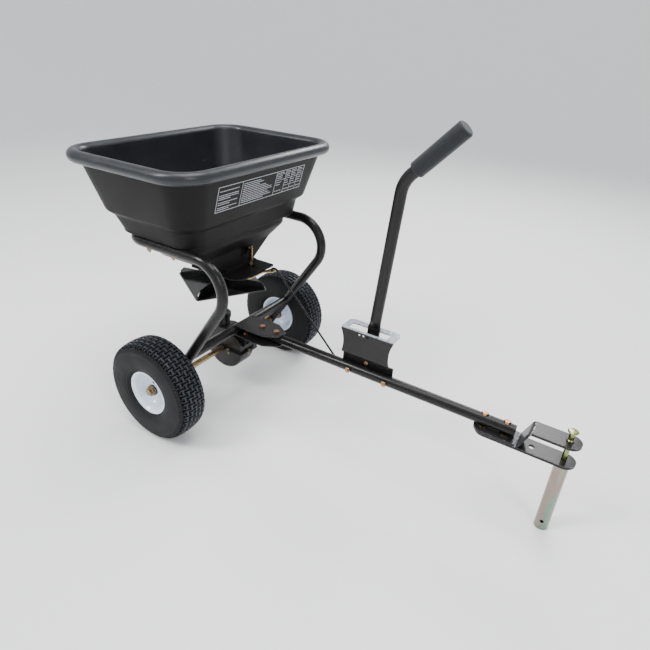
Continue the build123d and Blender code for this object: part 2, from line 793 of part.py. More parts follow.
guide_low_z = shutter_low_z - free_gap - base_sheet
with BuildPart() as shutter_guides:
    for side in (1, -1):
        inner_y = side * (shutter_half_y + free_gap)
        with BuildSketch(Plane.YZ.offset(axle_x - 34)):
            with BuildLine():
                Polyline(
                    (inner_y, base_low_z),
                    (inner_y + side * 5, base_low_z),
                    (inner_y + side * 5, guide_low_z),
                    (inner_y - side * guide_lip, guide_low_z),
                    (inner_y - side * guide_lip, guide_low_z + base_sheet),
                    (inner_y, guide_low_z + base_sheet),
                    close=True,
                )
            make_face()
        extrude(amount=128)
save(shutter_guides.part, "shutter_guides")

# ---------------------------------------------------------------- flow arm and its bracket
arm_px = axle_x + arm_x
arm_z = axle_z + arm_height
arm_sheet = 3.0
hopper_front_x = axle_x + 44
with BuildPart() as arm_bracket:
    with BuildSketch(Plane.YZ.offset(hopper_front_x)):
        with Locations((arm_y, arm_z - 16)):
            RectangleRounded(26, 26, 4)
    extrude(amount=2.5)
    for low_y in (arm_y - arm_sheet / 2 - free_gap - 2.5, arm_y + arm_sheet / 2 + free_gap):
        with BuildSketch(Plane.XZ.offset(-low_y)):
            with BuildLine():
                Polyline(
                    (hopper_front_x + 1, arm_z - 28),
                    (arm_px - 5, arm_z - 6),
                    (arm_px, arm_z),
                    (hopper_front_x + 1, arm_z - 4),
                    close=True,
                )
            make_face()
            with Locations((arm_px, arm_z)):
                Circle(6)
                Circle(m4 + turn_gap, mode=Mode.SUBTRACT)
        extrude(amount=-2.5)
save(arm_bracket.part, "flow_arm_bracket")

pin_half = arm_sheet / 2 + free_gap + 2.5
arm_pin = bolt(m4, 2 * pin_half + 4, 7, 2.5)
with BuildPart() as arm_pivot:
    add(arm_pin.moved(Location((arm_px, arm_y - pin_half, arm_z), facing_right)))
save(arm_pivot.part, "flow_arm_pivot")

finger_tip_z = shutter_low_z - 1.7
with BuildPart() as flow_arm:
    with BuildSketch(Plane.XZ.offset(-arm_y + arm_sheet / 2)):
        with BuildLine():
            Polyline(
                (arm_px - 5, base_z + 10),
                (arm_px + 5, base_z + 10),
                (arm_px + 6, arm_z),
                (arm_px - 6, arm_z),
                close=True,
            )
        make_face()
        with Locations((arm_px, arm_z)):
            Circle(6)
            Circle(m4 + turn_gap, mode=Mode.SUBTRACT)
    extrude(amount=-arm_sheet)
    with BuildSketch(Plane.XY.offset(finger_tip_z)):
        with Locations((arm_px, arm_y)):
            Circle(finger_radius)
    extrude(amount=base_z + 16 - finger_tip_z)
    fillet(flow_arm.faces().sort_by(Axis.Z)[0].edges(), 0.8)
    with BuildSketch(Plane.XY.offset(base_z + 6)):
        with Locations((arm_px, arm_y)):
            RegularPolygon(10 / sqrt(3), 6)
    extrude(amount=5)
save(flow_arm.part, "flow_arm")

# ---------------------------------------------------------------- control rod
tail_x = pivot_x - lever_tail * sin(lean)
tail_z = pivot_z - lever_tail * cos(lean)
ear_px = axle_x + ear_hole[0]
rod_top_z = base_z + 1 + rod_radius
rod_y = strap_y + lever_strap_sheet + 1 + rod_radius
with BuildPart() as control_rod:
    with BuildLine() as rod_path:
        FilletPolyline(
            (tail_x, strap_y + 0.2, tail_z),
            (tail_x, rod_y, tail_z),
            (tail_x - 90, rod_y, tail_z + 1),
            (ear_px + 14, ear_hole[1], rod_top_z),
            (ear_px, ear_hole[1], rod_top_z),
            (ear_px, ear_hole[1], shutter_low_z - 6),
            radius=[3.2, 30, 8, 5],
        )
    with BuildSketch(Plane(origin=rod_path.line @ 0, z_dir=rod_path.line % 0)):
        Circle(rod_radius)
    sweep(path=rod_path.line)
save(control_rod.part, "control_rod")

# ---------------------------------------------------------------- gearbox
case_mid_x = axle_x + case_x
case_low_y = case_y - case_half_width
case_high_y = case_y + case_half_width
case_inner = case_radius - case_wall
gear_low_z = axle_z + 42
gear_high_z = axle_z + 50
tower_top_z = axle_z + tower_top
flange_half_x = case_radius + case_flange
flange_half_y = case_half_width + case_flange
case_screws = [
    (case_mid_x + 22, case_low_y - 4.8),
    (case_mid_x + 22, case_high_y + 4.8),
    (case_mid_x - 30, case_low_y - 4.8),
    (case_mid_x - 30, case_high_y + 4.8),
    (case_mid_x + case_radius + 4.8, case_y),
    (case_mid_x - case_radius - 4.8, case_y),
]
case_bush_radius = axle_radius + 3.0


def case_half(side):
    """One half of the gearbox shell, above (1) or below (-1) the axle, before its bosses."""
    box_place = Location((case_mid_x, case_y, axle_z + side * case_radius))
    with BuildPart() as half:
        with Locations(Location((case_mid_x, case_y, axle_z), (90, 0, 0))):
            Cylinder(case_radius, 2 * case_half_width)
        fillet(half.edges().filter_by(GeomType.CIRCLE), 5)
        with Locations(box_place):
            Box(4 * case_radius, 4 * case_radius, 2 * case_radius, mode=Mode.INTERSECT)
        with BuildSketch(Plane.XY.offset(axle_z)):
            with Locations((case_mid_x, case_y)):
                RectangleRounded(2 * flange_half_x, 2 * flange_half_y, 8)
        extrude(amount=side * case_flange_sheet)
    return half.part


def case_hollow():
    """The room inside the gearbox, with the axle's way through it."""
    with BuildPart() as room:
        with Locations(Location((case_mid_x, case_y, axle_z), (90, 0, 0))):
            Cylinder(case_inner, 2 * (case_half_width - case_wall))
        fillet(room.edges().filter_by(GeomType.CIRCLE), 3)
        with Locations(Location((axle_x, case_y, axle_z), (90, 0, 0))):
            Cylinder(case_bush_radius, 4 * case_half_width)
        with Locations([(x, y, axle_z) for x, y in case_screws]):
            Cylinder(m4 + bolt_gap, 6 * case_flange_sheet)
    return room.part


hollow = case_hollow()
upper_shell = case_half(1)
lower_shell = case_half(-1)

with BuildPart() as gearbox_upper:
    add(upper_shell)
    with BuildSketch(Plane.XY.offset(axle_z + 30)):
        with Locations((shaft_px, 0)):
            Circle(tower_radius)
    extrude(amount=tower_top - 30)
    for side in (1, -1):
        with BuildSketch(Plane.XZ.offset(-side * 8 + 2)):
            with BuildLine():
                Polyline(
                    (axle_x + 26, gusset_low_z),
                    (axle_x + 88, gusset_low_z),
                    (axle_x + 88, gusset_low_z - tab_sheet),
                    (axle_x + 60, axle_z + 14),
                    (axle_x + 40, axle_z + 14),
                    close=True,
                )
            make_face()
        extrude(amount=-4)
    with BuildSketch(Plane.XY.offset(gusset_low_z - tab_sheet)):
        with Locations((axle_x + 58, 0)):
            Rectangle(62, 56)
    extrude(amount=tab_sheet)
    with Locations([(x, y, gusset_low_z) for x, y in mount_places]):
        Cylinder(m6 + bolt_gap, 5 * tab_sheet, mode=Mode.SUBTRACT)
    add(hollow, mode=Mode.SUBTRACT)
    with Locations((shaft_px, 0, axle_z + 44)):
        Cylinder(13.5, 28, mode=Mode.SUBTRACT)
    with Locations((shaft_px, 0, tower_top_z)):
        Cylinder(shaft_radius + turn_gap, 3 * tower_top, mode=Mode.SUBTRACT)
save(gearbox_upper.part, "gearbox_upper")

boss_radius = 7.4
with BuildPart() as gearbox_lower:
    add(lower_shell)
    add(hollow, mode=Mode.SUBTRACT)
    with BuildSketch(Plane.XY.offset(axle_z - case_inner)):
        with Locations((shaft_px, 0)):
            Circle(boss_radius)
    extrude(amount=case_inner - 45)
    with BuildSketch(Plane.XY.offset(axle_z - 53)):
        with Locations((shaft_px, 0)):
            Circle(shaft_radius + turn_gap)
    extrude(amount=20, mode=Mode.SUBTRACT)
save(gearbox_lower.part, "gearbox_lower")

case_screw = bolt(m4, 2 * case_flange_sheet + 7, 7, 3)
case_nut = nut(m4, 7, 3.2)
with BuildPart() as case_screw_set:
    for x, y in case_screws:
        add(case_screw.moved(Location((x, y, axle_z + case_flange_sheet))))
        add(case_nut.moved(Location((x, y, axle_z - case_flange_sheet))))
save(case_screw_set.part, "gearbox_screws")

with BuildPart() as case_bushes:
    for low_y, high_y in ((case_low_y - 4, case_low_y + 4), (case_high_y - 4, case_high_y + 4)):
        with BuildSketch(Plane.XZ.offset(-low_y)):
            with Locations((axle_x, axle_z)):
                Circle(case_bush_radius - seat_gap)
                Circle(axle_radius + turn_gap, mode=Mode.SUBTRACT)
        extrude(amount=-(high_y - low_y))
save(case_bushes.part, "gearbox_axle_bushes")

cap_height = 14.0
cap_screw_places = [
    (shaft_px + 14.5 * cos(radians(a)), 14.5 * sin(radians(a))) for a in (30, 150, 270)
]
with BuildPart() as bearing_cap:
    with BuildSketch(Plane.XY.offset(tower_top_z)):
        with Locations((shaft_px, 0)):
            Circle(tower_radius + 3)
            Circle(shaft_radius + free_gap, mode=Mode.SUBTRACT)
        with Locations(cap_screw_places):
            Circle(m4 + seat_gap, mode=Mode.SUBTRACT)
    extrude(amount=cap_height)
    chamfer(bearing_cap.faces().sort_by(Axis.Z)[-1].outer_wire().edges(), 2)
save(bearing_cap.part, "shaft_bearing_cap")

# ---------------------------------------------------------------- crown gear and pinion
disc_low_y = 13.5
disc_sheet = 3.5
tooth_tip_y = 8.0
crown_radius = 54.5
crown_hub_radius = 14.0
crown_hub_end_y = 27.0
crown_pin_y = 22.5
tooth_step = 360 / crown_teeth

with BuildPart() as crown_gear:
    for low_y, high_y, radius in (
        (disc_low_y, disc_low_y + disc_sheet, crown_radius),
        (disc_low_y, crown_hub_end_y, crown_hub_radius),
    ):
        with BuildSketch(Plane.XZ.offset(-low_y)):
            with Locations((axle_x, axle_z)):
                Circle(radius)
        extrude(amount=-(high_y - low_y))
    with BuildSketch(Plane.XZ.offset(-tooth_tip_y)):
        for count in range(crown_teeth):
            turn = Location((axle_x, axle_z), -(count + 0.5) * tooth_step)
            with Locations(turn * Location((shaft_x, 46))):
                Rectangle(tooth_thickness, gear_face)
    extrude(amount=-(disc_low_y + 1 - tooth_tip_y))
    with Locations(Location((axle_x, 0, axle_z), (90, 0, 0))):
        Cylinder(axle_radius + seat_gap, 80, mode=Mode.SUBTRACT)
    with Locations((axle_x, crown_pin_y, axle_z)):
        Cylinder(m4 + seat_gap, 40, mode=Mode.SUBTRACT)
save(crown_gear.part, "crown_gear")

with BuildPart() as crown_pin:
    with Locations((axle_x, crown_pin_y, axle_z)):
        Cylinder(m4, 2 * crown_hub_radius + 2)
save(crown_pin.part, "crown_gear_pin")

pinion_root = 6.6
pinion_tip = 11.6
with BuildPart() as pinion:
    with BuildSketch(Plane.XY.offset(gear_low_z + 0.5)):
        with Locations((shaft_px, 0)):
            Circle(pinion_root)
            with PolarLocations(0, pinion_teeth, start_angle=90):
                Polygon(
                    (pinion_root - 1, -1.3),
                    (pinion_tip - 0.6, -0.9),
                    (pinion_tip, -0.4),
                    (pinion_tip, 0.4),
                    (pinion_tip - 0.6, 0.9),
                    (pinion_root - 1, 1.3),
                    align=None,
                )
    extrude(amount=gear_high_z - gear_low_z - 1)
    with BuildSketch(Plane.XY.offset(gear_high_z - 0.5)):
        with Locations((shaft_px, 0)):
            Circle(pinion_root)
    extrude(amount=7)
    with Locations((shaft_px, 0, axle_z + 50)):
        Cylinder(shaft_radius + seat_gap, 60, mode=Mode.SUBTRACT)
save(pinion.part, "pinion")

# ---------------------------------------------------------------- impeller, shaft and agitator
impeller_z = axle_z + impeller_height
impeller_sheet = 3.0
hub_height = 24.0
impeller_hub = 14.0
impeller_pin_z = impeller_z + 16
agitator_z = base_z + 4
shaft_low_z = axle_z - 52.5
shaft_top_z = agitator_z + 12
impeller_corners = [impeller_turn + 360 / vane_count * count for count in range(vane_count)]

with BuildPart() as drive_shaft:
    with BuildSketch(Plane.XY.offset(shaft_low_z)):
        with Locations((shaft_px, 0)):
            Circle(shaft_radius)
    extrude(amount=shaft_top_z - shaft_low_z)
    chamfer(drive_shaft.faces().sort_by(Axis.Z)[-1].edges(), 1)
    with Locations(Location((shaft_px, 0, impeller_pin_z), (90, 0, 0))):
        Cylinder(m4 + seat_gap, 4 * shaft_radius, mode=Mode.SUBTRACT)
save(drive_shaft.part, "drive_shaft")

with BuildPart() as impeller:
    with BuildSketch(Plane.XY.offset(impeller_z)):
        with Locations((shaft_px, 0)):
            RegularPolygon(impeller_radius, vane_count, rotation=impeller_turn)
    extrude(amount=impeller_sheet)
    fillet(impeller.edges().filter_by(Axis.Z), 9)
    with BuildSketch(Plane.XY.offset(impeller_z)):
        with Locations((shaft_px, 0)):
            Circle(impeller_hub)
    extrude(amount=hub_height)
    for angle in impeller_corners:
        vane_plane = Plane(
            origin=(shaft_px, 0, impeller_z + impeller_sheet),
            x_dir=(cos(radians(angle)), sin(radians(angle)), 0),
            z_dir=(sin(radians(angle)), -cos(radians(angle)), 0),
        )
        with BuildSketch(vane_plane):
            with BuildLine():
                Polyline(
                    (impeller_hub - 2, -1),
                    (impeller_radius - 8, -1),
                    (impeller_radius - 8, vane_height - 10),
                    (impeller_radius - 18, vane_height),
                    (impeller_hub - 2, vane_height),
                    close=True,
                )
            make_face()
        extrude(amount=1.5, both=True)
    with Locations((shaft_px, 0, impeller_z)):
        Cylinder(shaft_radius + seat_gap, 80, mode=Mode.SUBTRACT)
    with Locations(Location((shaft_px, 0, impeller_pin_z), (90, 0, 0))):
        Cylinder(m4 + seat_gap, 4 * impeller_hub, mode=Mode.SUBTRACT)
save(impeller.part, "impeller")

with BuildPart() as impeller_pin:
    with Locations(Location((shaft_px, 0, impeller_pin_z), (90, 0, 0))):
        Cylinder(m4, 2 * impeller_hub + 3)
save(impeller_pin.part, "impeller_pin")

with BuildPart() as agitator:
    with BuildSketch(Plane.XY.offset(agitator_z)):
        with Locations((shaft_px, 0)):
            Circle(9)
            Circle(shaft_radius + seat_gap, mode=Mode.SUBTRACT)
    extrude(amount=9)
    for side in (1, -1):
        with Locations(Location((shaft_px, side * 16, agitator_z + 4.5), (90, 0, 0))):
            Cylinder(2, 16)
save(agitator.part, "agitator")

# ---------------------------------------------------------------- axle and its fittings
axle_half = wheel_y + hub_out + bush_flange + 14
hub_face_y = wheel_y + hub_out + bush_flange
hub_back_y = wheel_y - hub_in - bush_flange
frame_washer_y = side_tube_y - tube_radius - 3 - free_gap
cotter_ys = (frame_washer_y - 4.5, hub_back_y - 2.5 - 4.5)
drive_pin_y = wheel_y - 12
washer_sheet = 2.0
axle_nut_width = 22.0
axle_nut_height = 7.0
along_y = (90, 0, 0)

with BuildPart() as axle:
    with Locations(Location((axle_x, 0, axle_z), along_y)):
        Cylinder(axle_radius, 2 * axle_half)
    chamfer(axle.edges().filter_by(GeomType.CIRCLE), 1)
    for y in cotter_ys:
        with Locations((axle_x, y, axle_z), (axle_x, -y, axle_z)):
            Cylinder(1.3, 4 * axle_radius, mode=Mode.SUBTRACT)
    with Locations((axle_x, crown_pin_y, axle_z)):
        Cylinder(m4 + seat_gap, 4 * axle_radius, mode=Mode.SUBTRACT)
    with Locations((axle_x, drive_pin_y, axle_z)):
        Cylinder(2.5 + seat_gap, 4 * axle_radius, mode=Mode.SUBTRACT)
save(axle.part, "axle")

washer_lows = (frame_washer_y - washer_sheet, hub_back_y - 0.3 - washer_sheet, hub_face_y + 0.3)
with BuildPart() as axle_washers:
    for low in washer_lows:
        for side in (1, -1):
            with BuildSketch(Plane.XZ.offset(-side * low)):
                with Locations((axle_x, axle_z)):
                    Circle(14)
                    Circle(axle_radius + seat_gap, mode=Mode.SUBTRACT)
            extrude(amount=-side * washer_sheet)
save(axle_washers.part, "axle_washers")

with BuildPart() as axle_cotters:
    for y in cotter_ys:
        with Locations((axle_x, y, axle_z), (axle_x, -y, axle_z)):
            Cylinder(1.25, 2 * axle_radius + 10)
save(axle_cotters.part, "axle_cotters")

nut_low = hub_face_y + 0.3 + washer_sheet
with BuildPart() as axle_nuts:
    for side in (1, -1):
        with BuildSketch(Plane.XZ.offset(-side * nut_low)):
            with Locations((axle_x, axle_z)):
                RegularPolygon(axle_nut_width / sqrt(3), 6)
                Circle(axle_radius + seat_gap, mode=Mode.SUBTRACT)
        extrude(amount=-side * axle_nut_height)
save(axle_nuts.part, "axle_nuts")

with BuildPart() as wheel_pin:
    with Locations((axle_x, drive_pin_y, axle_z)):
        Cylinder(2.5, 2 * hub_radius + 4)
save(wheel_pin.part, "wheel_drive_pin")

# ---------------------------------------------------------------- wheels
barrel = rim_seat_radius
rim_half = rim_width / 2
stem_turn = 62.0
stem_radius = 3.0
stem_reach = 42.0

for side, name in ((1, "left"), (-1, "right")):
    wheel_plane = Plane(
        origin=(axle_x, side * wheel_y, axle_z), x_dir=(1, 0, 0), z_dir=(0, 0, side)
    )
    wheel_axis = Axis((axle_x, 0, axle_z), (0, 1, 0))
    stem_place = Location(
        (
            axle_x + stem_reach * cos(radians(stem_turn)),
            side * wheel_y,
            axle_z + stem_reach * sin(radians(stem_turn)),
        ),
        along_y,
    )
    with BuildPart() as rim:
        with BuildSketch(wheel_plane) as profile:
            with BuildLine():
                Polyline(
                    (rim_flange_radius, rim_half),
                    (barrel + 3, rim_half),
                    (barrel - rim_sheet, rim_half - 6),
                    (barrel - rim_sheet, 1),
                    (hub_radius, 1),
                    (hub_radius, hub_out),
                    (hub_radius - hub_wall, hub_out),
                    (hub_radius - hub_wall, -hub_in),
                    (hub_radius, -hub_in),
                    (hub_radius, -1),
                    (barrel - rim_sheet, -1),
                    (barrel - rim_sheet, -rim_half + 6),
                    (barrel + 3, -rim_half),
                    (rim_flange_radius, -rim_half),
                    (rim_flange_radius, -rim_half + rim_sheet),
                    (barrel + 4, -rim_half + rim_sheet),
                    (barrel, -rim_half + 7),
                    (barrel, rim_half - 7),
                    (barrel + 4, rim_half - rim_sheet),
                    (rim_flange_radius, rim_half - rim_sheet),
                    close=True,
                )
            make_face()
            for radius, y, size in (
                (barrel - rim_sheet, 1, 18),
                (barrel - rim_sheet, -1, 18),
                (hub_radius, 1, 4),
                (hub_radius, -1, 4),
            ):
                fillet(profile.vertices().sort_by_distance((radius, y)).first, size)
        revolve(axis=wheel_axis)
        with Locations(stem_place):
            Cylinder(stem_radius + seat_gap, 60, mode=Mode.SUBTRACT)
        if side == 1:
            with Locations((axle_x, drive_pin_y, axle_z)):
                Cylinder(2.5 + seat_gap, 2 * hub_radius + 10, mode=Mode.SUBTRACT)
    save(rim.part, f"rim_{name}")

    bead = barrel + seat_gap
    wall_start = rim_flange_radius + 0.6
    with BuildPart() as tyre:
        with BuildSketch(wheel_plane):
            with BuildLine():
                Spline(
                    (wall_start, rim_half - 2.3),
                    (66, 38),
                    (92, tyre_width / 2),
                    (114, 38.5),
                    (124.5, 32.5),
                    (129, 18),
                    (tyre_radius, 0),
                    (129, -18),
                    (124.5, -32.5),
                    (114, -38.5),
                    (92, -tyre_width / 2),
                    (66, -38),
                    (wall_start, -rim_half + 2.3),
                )
                Polyline(
                    (wall_start, -rim_half + 2.3),
                    (barrel + 3.8, -rim_half + 2.3),
                    (bead, -rim_half + 7),
                    (bead, -rim_half + 18),
                    (bead + 6, -rim_half + 14),
                )
                Spline(
                    (bead + 6, -rim_half + 14),
                    (68, -38 + tyre_wall + 1),
                    (92, -tyre_width / 2 + tyre_wall),
                    (111, -38.5 + tyre_wall + 1),
                    (118, -26),
                    (tyre_radius - 9, 0),
                    (118, 26),
                    (111, 38.5 - tyre_wall - 1),
                    (92, tyre_width / 2 - tyre_wall),
                    (68, 38 - tyre_wall - 1),
                    (bead + 6, rim_half - 14),
                )
                Polyline(
                    (bead + 6, rim_half - 14),
                    (bead, rim_half - 18),
                    (bead, rim_half - 7),
                    (barrel + 3.8, rim_half - 2.3),
                    (wall_start, rim_half - 2.3),
                )
            make_face()
        revolve(axis=wheel_axis)
    save(tyre.part, f"tyre_{name}")

    with BuildPart() as hub_bushes:
        for low, high, outer in (
            (hub_out - 12, hub_out, hub_radius - hub_wall - seat_gap),
            (hub_out, hub_out + bush_flange, hub_radius),
            (-hub_in, -hub_in + 12, hub_radius - hub_wall - seat_gap),
            (-hub_in - bush_flange, -hub_in, hub_radius),
        ):
            with BuildSketch(Plane.XZ.offset(-side * (wheel_y + low))):
                with Locations((axle_x, axle_z)):
                    Circle(outer)
                    Circle(axle_radius + turn_gap, mode=Mode.SUBTRACT)
            extrude(amount=-side * (high - low))
    save(hub_bushes.part, f"hub_bushes_{name}")

    with BuildPart() as valve_stem:
        with Locations(stem_place * Location((0, 0, -side * 9))):
            Cylinder(stem_radius, 26)
        with Locations(stem_place * Location((0, 0, -side * 24))):
            Cylinder(stem_radius + 0.8, 5)
    save(valve_stem.part, f"valve_stem_{name}")
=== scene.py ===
"""Looks of a tow-behind broadcast spreader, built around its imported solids.

Metres, in the part's own frame: +X towards the hitch, +Y to the driven wheel, +Z up. Each piece
takes its place from the frame, and each operator can be run again on its own.
"""

import json
import random
from math import ceil, cos, pi, radians, sin, sqrt

import bpy
from mathutils import Matrix, Vector


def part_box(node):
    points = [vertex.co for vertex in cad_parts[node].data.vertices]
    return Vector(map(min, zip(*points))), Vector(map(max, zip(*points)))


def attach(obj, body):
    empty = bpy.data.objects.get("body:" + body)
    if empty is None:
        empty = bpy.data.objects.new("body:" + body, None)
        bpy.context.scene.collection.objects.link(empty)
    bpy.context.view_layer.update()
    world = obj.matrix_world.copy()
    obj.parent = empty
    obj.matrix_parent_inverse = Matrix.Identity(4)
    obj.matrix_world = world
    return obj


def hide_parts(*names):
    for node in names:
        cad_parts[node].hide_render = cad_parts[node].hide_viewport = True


bl_info = {
    "name": "Broadcast Spreader",
    "version": (1, 0, 0),
    "blender": (4, 5, 0),
    "location": "3D View > Sidebar > Spreader",
    "description": "Builds the visible pieces, finishes and studio of a tow-behind spreader",
    "category": "Add Mesh",
}

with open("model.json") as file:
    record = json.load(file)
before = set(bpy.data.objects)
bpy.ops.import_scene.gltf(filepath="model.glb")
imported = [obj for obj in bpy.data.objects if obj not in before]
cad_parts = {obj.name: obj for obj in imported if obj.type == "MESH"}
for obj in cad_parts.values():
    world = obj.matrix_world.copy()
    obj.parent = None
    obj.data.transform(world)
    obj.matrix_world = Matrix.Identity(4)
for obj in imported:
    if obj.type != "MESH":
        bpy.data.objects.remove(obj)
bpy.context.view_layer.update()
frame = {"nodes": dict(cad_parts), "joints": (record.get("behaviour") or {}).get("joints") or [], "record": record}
MM = 0.001
node_slots = {entry["node"]: entry["material_slot"] for entry in frame["record"]["subparts"]}
joints = {joint["name"]: joint for joint in frame["joints"]}
axle_place = Vector(joints["axle_spin"]["pos_m"])
# Colour of uncoated steel, also used for the painted sky reflection on the bracket's top.
BARE_STEEL_AND_SHEEN = (0.42, 0.46, 0.52)
LEDGE_HEIGHT = 110 * MM
RIM_CORNER = 68 * MM


# ---------------------------------------------------------------- settings
def length(label, note, default):
    """A length property in metres."""
    return bpy.props.FloatProperty(
        name=label, description=note, default=default, unit="LENGTH", precision=5
    )


def colour(label, note, default):
    """A colour property."""
    return bpy.props.FloatVectorProperty(
        name=label, description=note, default=default, subtype="COLOR", size=3, min=0, max=1
    )


class HopperSettings(bpy.types.PropertyGroup):
    """Sizes of the moulded hopper."""

    wall: length("Wall", "Thickness of the moulded wall", 3 * MM)
    rounding: length("Rounding", "Length over which each step of the wall is rounded", 5 * MM)
    roll: length("Rim roll", "Radius of the rolled rim", 14 * MM)
    corner_points: bpy.props.IntProperty(
        name="Corner points", description="Segments in each rounded corner", default=14, min=4
    )


class LabelSettings(bpy.types.PropertyGroup):
    """Sizes of the printed panel on the hopper's front."""

    width: length("Width", "Width of the printed outline", 310 * MM)
    height: length("Height", "Height of the printed outline", 60 * MM)
    line: length("Line", "Width of a printed line", 1.1 * MM)


class TyreSettings(bpy.types.PropertyGroup):
    """Sizes of the turf tyres."""

    pitches: bpy.props.IntProperty(
        name="Pitches", description="Tread blocks around the tyre", default=44, min=8
    )
    groove: length("Groove", "Depth of the tread's grooves", 4.2 * MM)
    steps: bpy.props.IntProperty(
        name="Steps", description="Mesh steps along one pitch", default=16, min=6
    )


class GripSettings(bpy.types.PropertyGroup):
    """Sizes of the lever's soft grip."""

    lean: bpy.props.FloatProperty(
        name="Lean",
        description="Grip's angle from upright",
        default=radians(43.5),
        subtype="ANGLE",
    )
    edge: length("Edge", "Rounding of the grip's ends", 5 * MM)


class FinishSettings(bpy.types.PropertyGroup):
    """Colours of the finishes."""

    plastic: colour("Hopper plastic", "Colour of the moulded hopper", (0.0050, 0.0046, 0.0046))
    paint: colour("Frame paint", "Colour of the coated tubes", (0.0045, 0.0041, 0.0042))
    rubber: colour("Rubber", "Colour of the tyres", (0.0075, 0.0075, 0.0082))
    rim: colour("Wheel paint", "Colour of the wheels' paint", (0.72, 0.80, 0.90))
    zinc: colour("Zinc", "Colour of the yellow plating", (0.30, 0.20, 0.075))
    copper: colour("Bolt heads", "Colour of the copper-tinted bolts", (0.44, 0.16, 0.09))
    ink: colour("Print", "Colour of the printed panel", (0.50, 0.52, 0.55))


class StageSettings(bpy.types.PropertyGroup):
    """The studio around the spreader."""

    floor: colour("Floor", "Colour of the floor", (0.93, 0.93, 0.93))
    key: bpy.props.FloatProperty(name="Key", description="Key light's power", default=75.0, min=0)
    sky: bpy.props.FloatProperty(name="Sky", description="World light", default=0.75, min=0)


# ---------------------------------------------------------------- mesh helpers
def new_piece(name, points, faces, materials, smooth=True):
    """A mesh object from points and faces, in the part's frame."""
    mesh = bpy.data.meshes.new(name)
    mesh.from_pydata([tuple(p) for p in points], [], faces)
    for material in materials:
        mesh.materials.append(material)
    if smooth:
        mesh.shade_smooth()
    mesh.update()
    piece = bpy.data.objects.new(name, mesh)
    bpy.context.scene.collection.objects.link(piece)
    return piece


def loops_skin(ring_count, ring_size, closed=False, flip=False):
    """Quads between neighbouring rings of points, and from the last to the first if closed."""
    faces = []
    for ring in range(ring_count if closed else ring_count - 1):
        here, there = ring * ring_size, (ring + 1) % ring_count * ring_size
        for i in range(ring_size):
            j = (i + 1) % ring_size
            quad = (here + i, here + j, there + j, there + i)
            faces.append(quad[::-1] if flip else quad)
    return faces


def clear_piece(name):
    """Drop an earlier copy of a piece, so that its operator can run again."""
    old = bpy.data.objects.get(name)
    if old is not None:
        bpy.data.objects.remove(old)


def crease(piece, angle):
    """Keep edges sharper than an angle crisp under smooth shading."""
    piece.data.set_sharp_from_angle(angle=angle)


# ---------------------------------------------------------------- node helpers
class Board:
    """A node tree with short ways to add and wire its nodes."""

    def __init__(self, tree):
        self.tree = tree

    def add(self, kind, **settings):
        node = self.tree.nodes.new(kind)
        for key, value in settings.items():
            setattr(node, key, value)
        return node

    def put(self, socket, value):
        """Wire a socket to a value: another socket, or a plain number or colour."""
        if isinstance(value, bpy.types.NodeSocket):
            self.tree.links.new(value, socket)
        elif value is not None:
            socket.default_value = value

    def math(self, operation, first, second=None, third=None, clamp=False):
        node = self.add("ShaderNodeMath", operation=operation, use_clamp=clamp)
        for socket, value in zip(node.inputs, (first, second, third)):
            self.put(socket, value)
        return node.outputs[0]

    def times(self, first, *others):
        """The product of some masks."""
        for other in others:
            first = self.math("MULTIPLY", first, other)
        return first

    def mix(self, mask, first, second):
        """A colour mixed from two by a mask."""
        node = self.add("ShaderNodeMix", data_type="RGBA")
        self.put(node.inputs["Factor"], mask)
        self.put(node.inputs[6], as_rgba(first))
        self.put(node.inputs[7], as_rgba(second))
        return node.outputs[2]

    def blend(self, mask, first, second):
        """A number mixed from two by a mask."""
        node = self.add("ShaderNodeMix", data_type="FLOAT")
        self.put(node.inputs["Factor"], mask)
        self.put(node.inputs[2], first)
        self.put(node.inputs[3], second)
        return node.outputs[0]

    def span(self, value, low, high, to_low=0.0, to_high=1.0):
        """A value's range mapped to another, clamped."""
        node = self.add("ShaderNodeMapRange", clamp=True)
        for socket, number in zip(node.inputs, (value, low, high, to_low, to_high)):
            self.put(socket, number)
        return node.outputs[0]

    def noise(self, scale, detail=3.0, rough=0.5, vector=None, stretch=None):
        """A noise over the surface, in the object's own space."""
        if vector is None:
            vector = self.add("ShaderNodeTexCoord").outputs["Object"]
        if stretch is not None:
            mapping = self.add("ShaderNodeMapping")
            self.put(mapping.inputs["Vector"], vector)
            mapping.inputs["Scale"].default_value = stretch
            vector = mapping.outputs[0]
        node = self.add("ShaderNodeTexNoise")
        self.put(node.inputs["Vector"], vector)
        self.put(node.inputs["Scale"], scale)
        node.inputs["Detail"].default_value = detail
        node.inputs["Roughness"].default_value = rough
        return node.outputs["Fac"]

    def group(self, tree, **values):
        """A shared effect with this material's own values."""
        node = self.add("ShaderNodeGroup", node_tree=tree)
        for key, value in values.items():
            self.put(node.inputs[key.replace("_", " ")], value)
        return node.outputs

    def bump(self, height, strength, distance, normal=None):
        node = self.add("ShaderNodeBump")
        node.inputs["Strength"].default_value = strength
        node.inputs["Distance"].default_value = distance
        self.put(node.inputs["Height"], height)
        self.put(node.inputs["Normal"], normal)
        return node.outputs[0]


def as_rgba(value):
    """A colour with its alpha, or the socket itself."""
    return value if isinstance(value, bpy.types.NodeSocket) else (*value[:3], 1)


def shared_effect(name, inputs, outputs):
    """A new shader node group, its board, and its input and output nodes."""
    tree = bpy.data.node_groups.new(name, "ShaderNodeTree")
    for label, default in inputs:
        socket = tree.interface.new_socket(label, in_out="INPUT", socket_type="NodeSocketFloat")
        socket.default_value = default
    for label, kind in outputs:
        tree.interface.new_socket(label, in_out="OUTPUT", socket_type=kind)
    board = Board(tree)
    return board, board.add("NodeGroupInput").outputs, board.add("NodeGroupOutput").inputs


NUMBER = "NodeSocketFloat"
COLOUR = "NodeSocketColor"


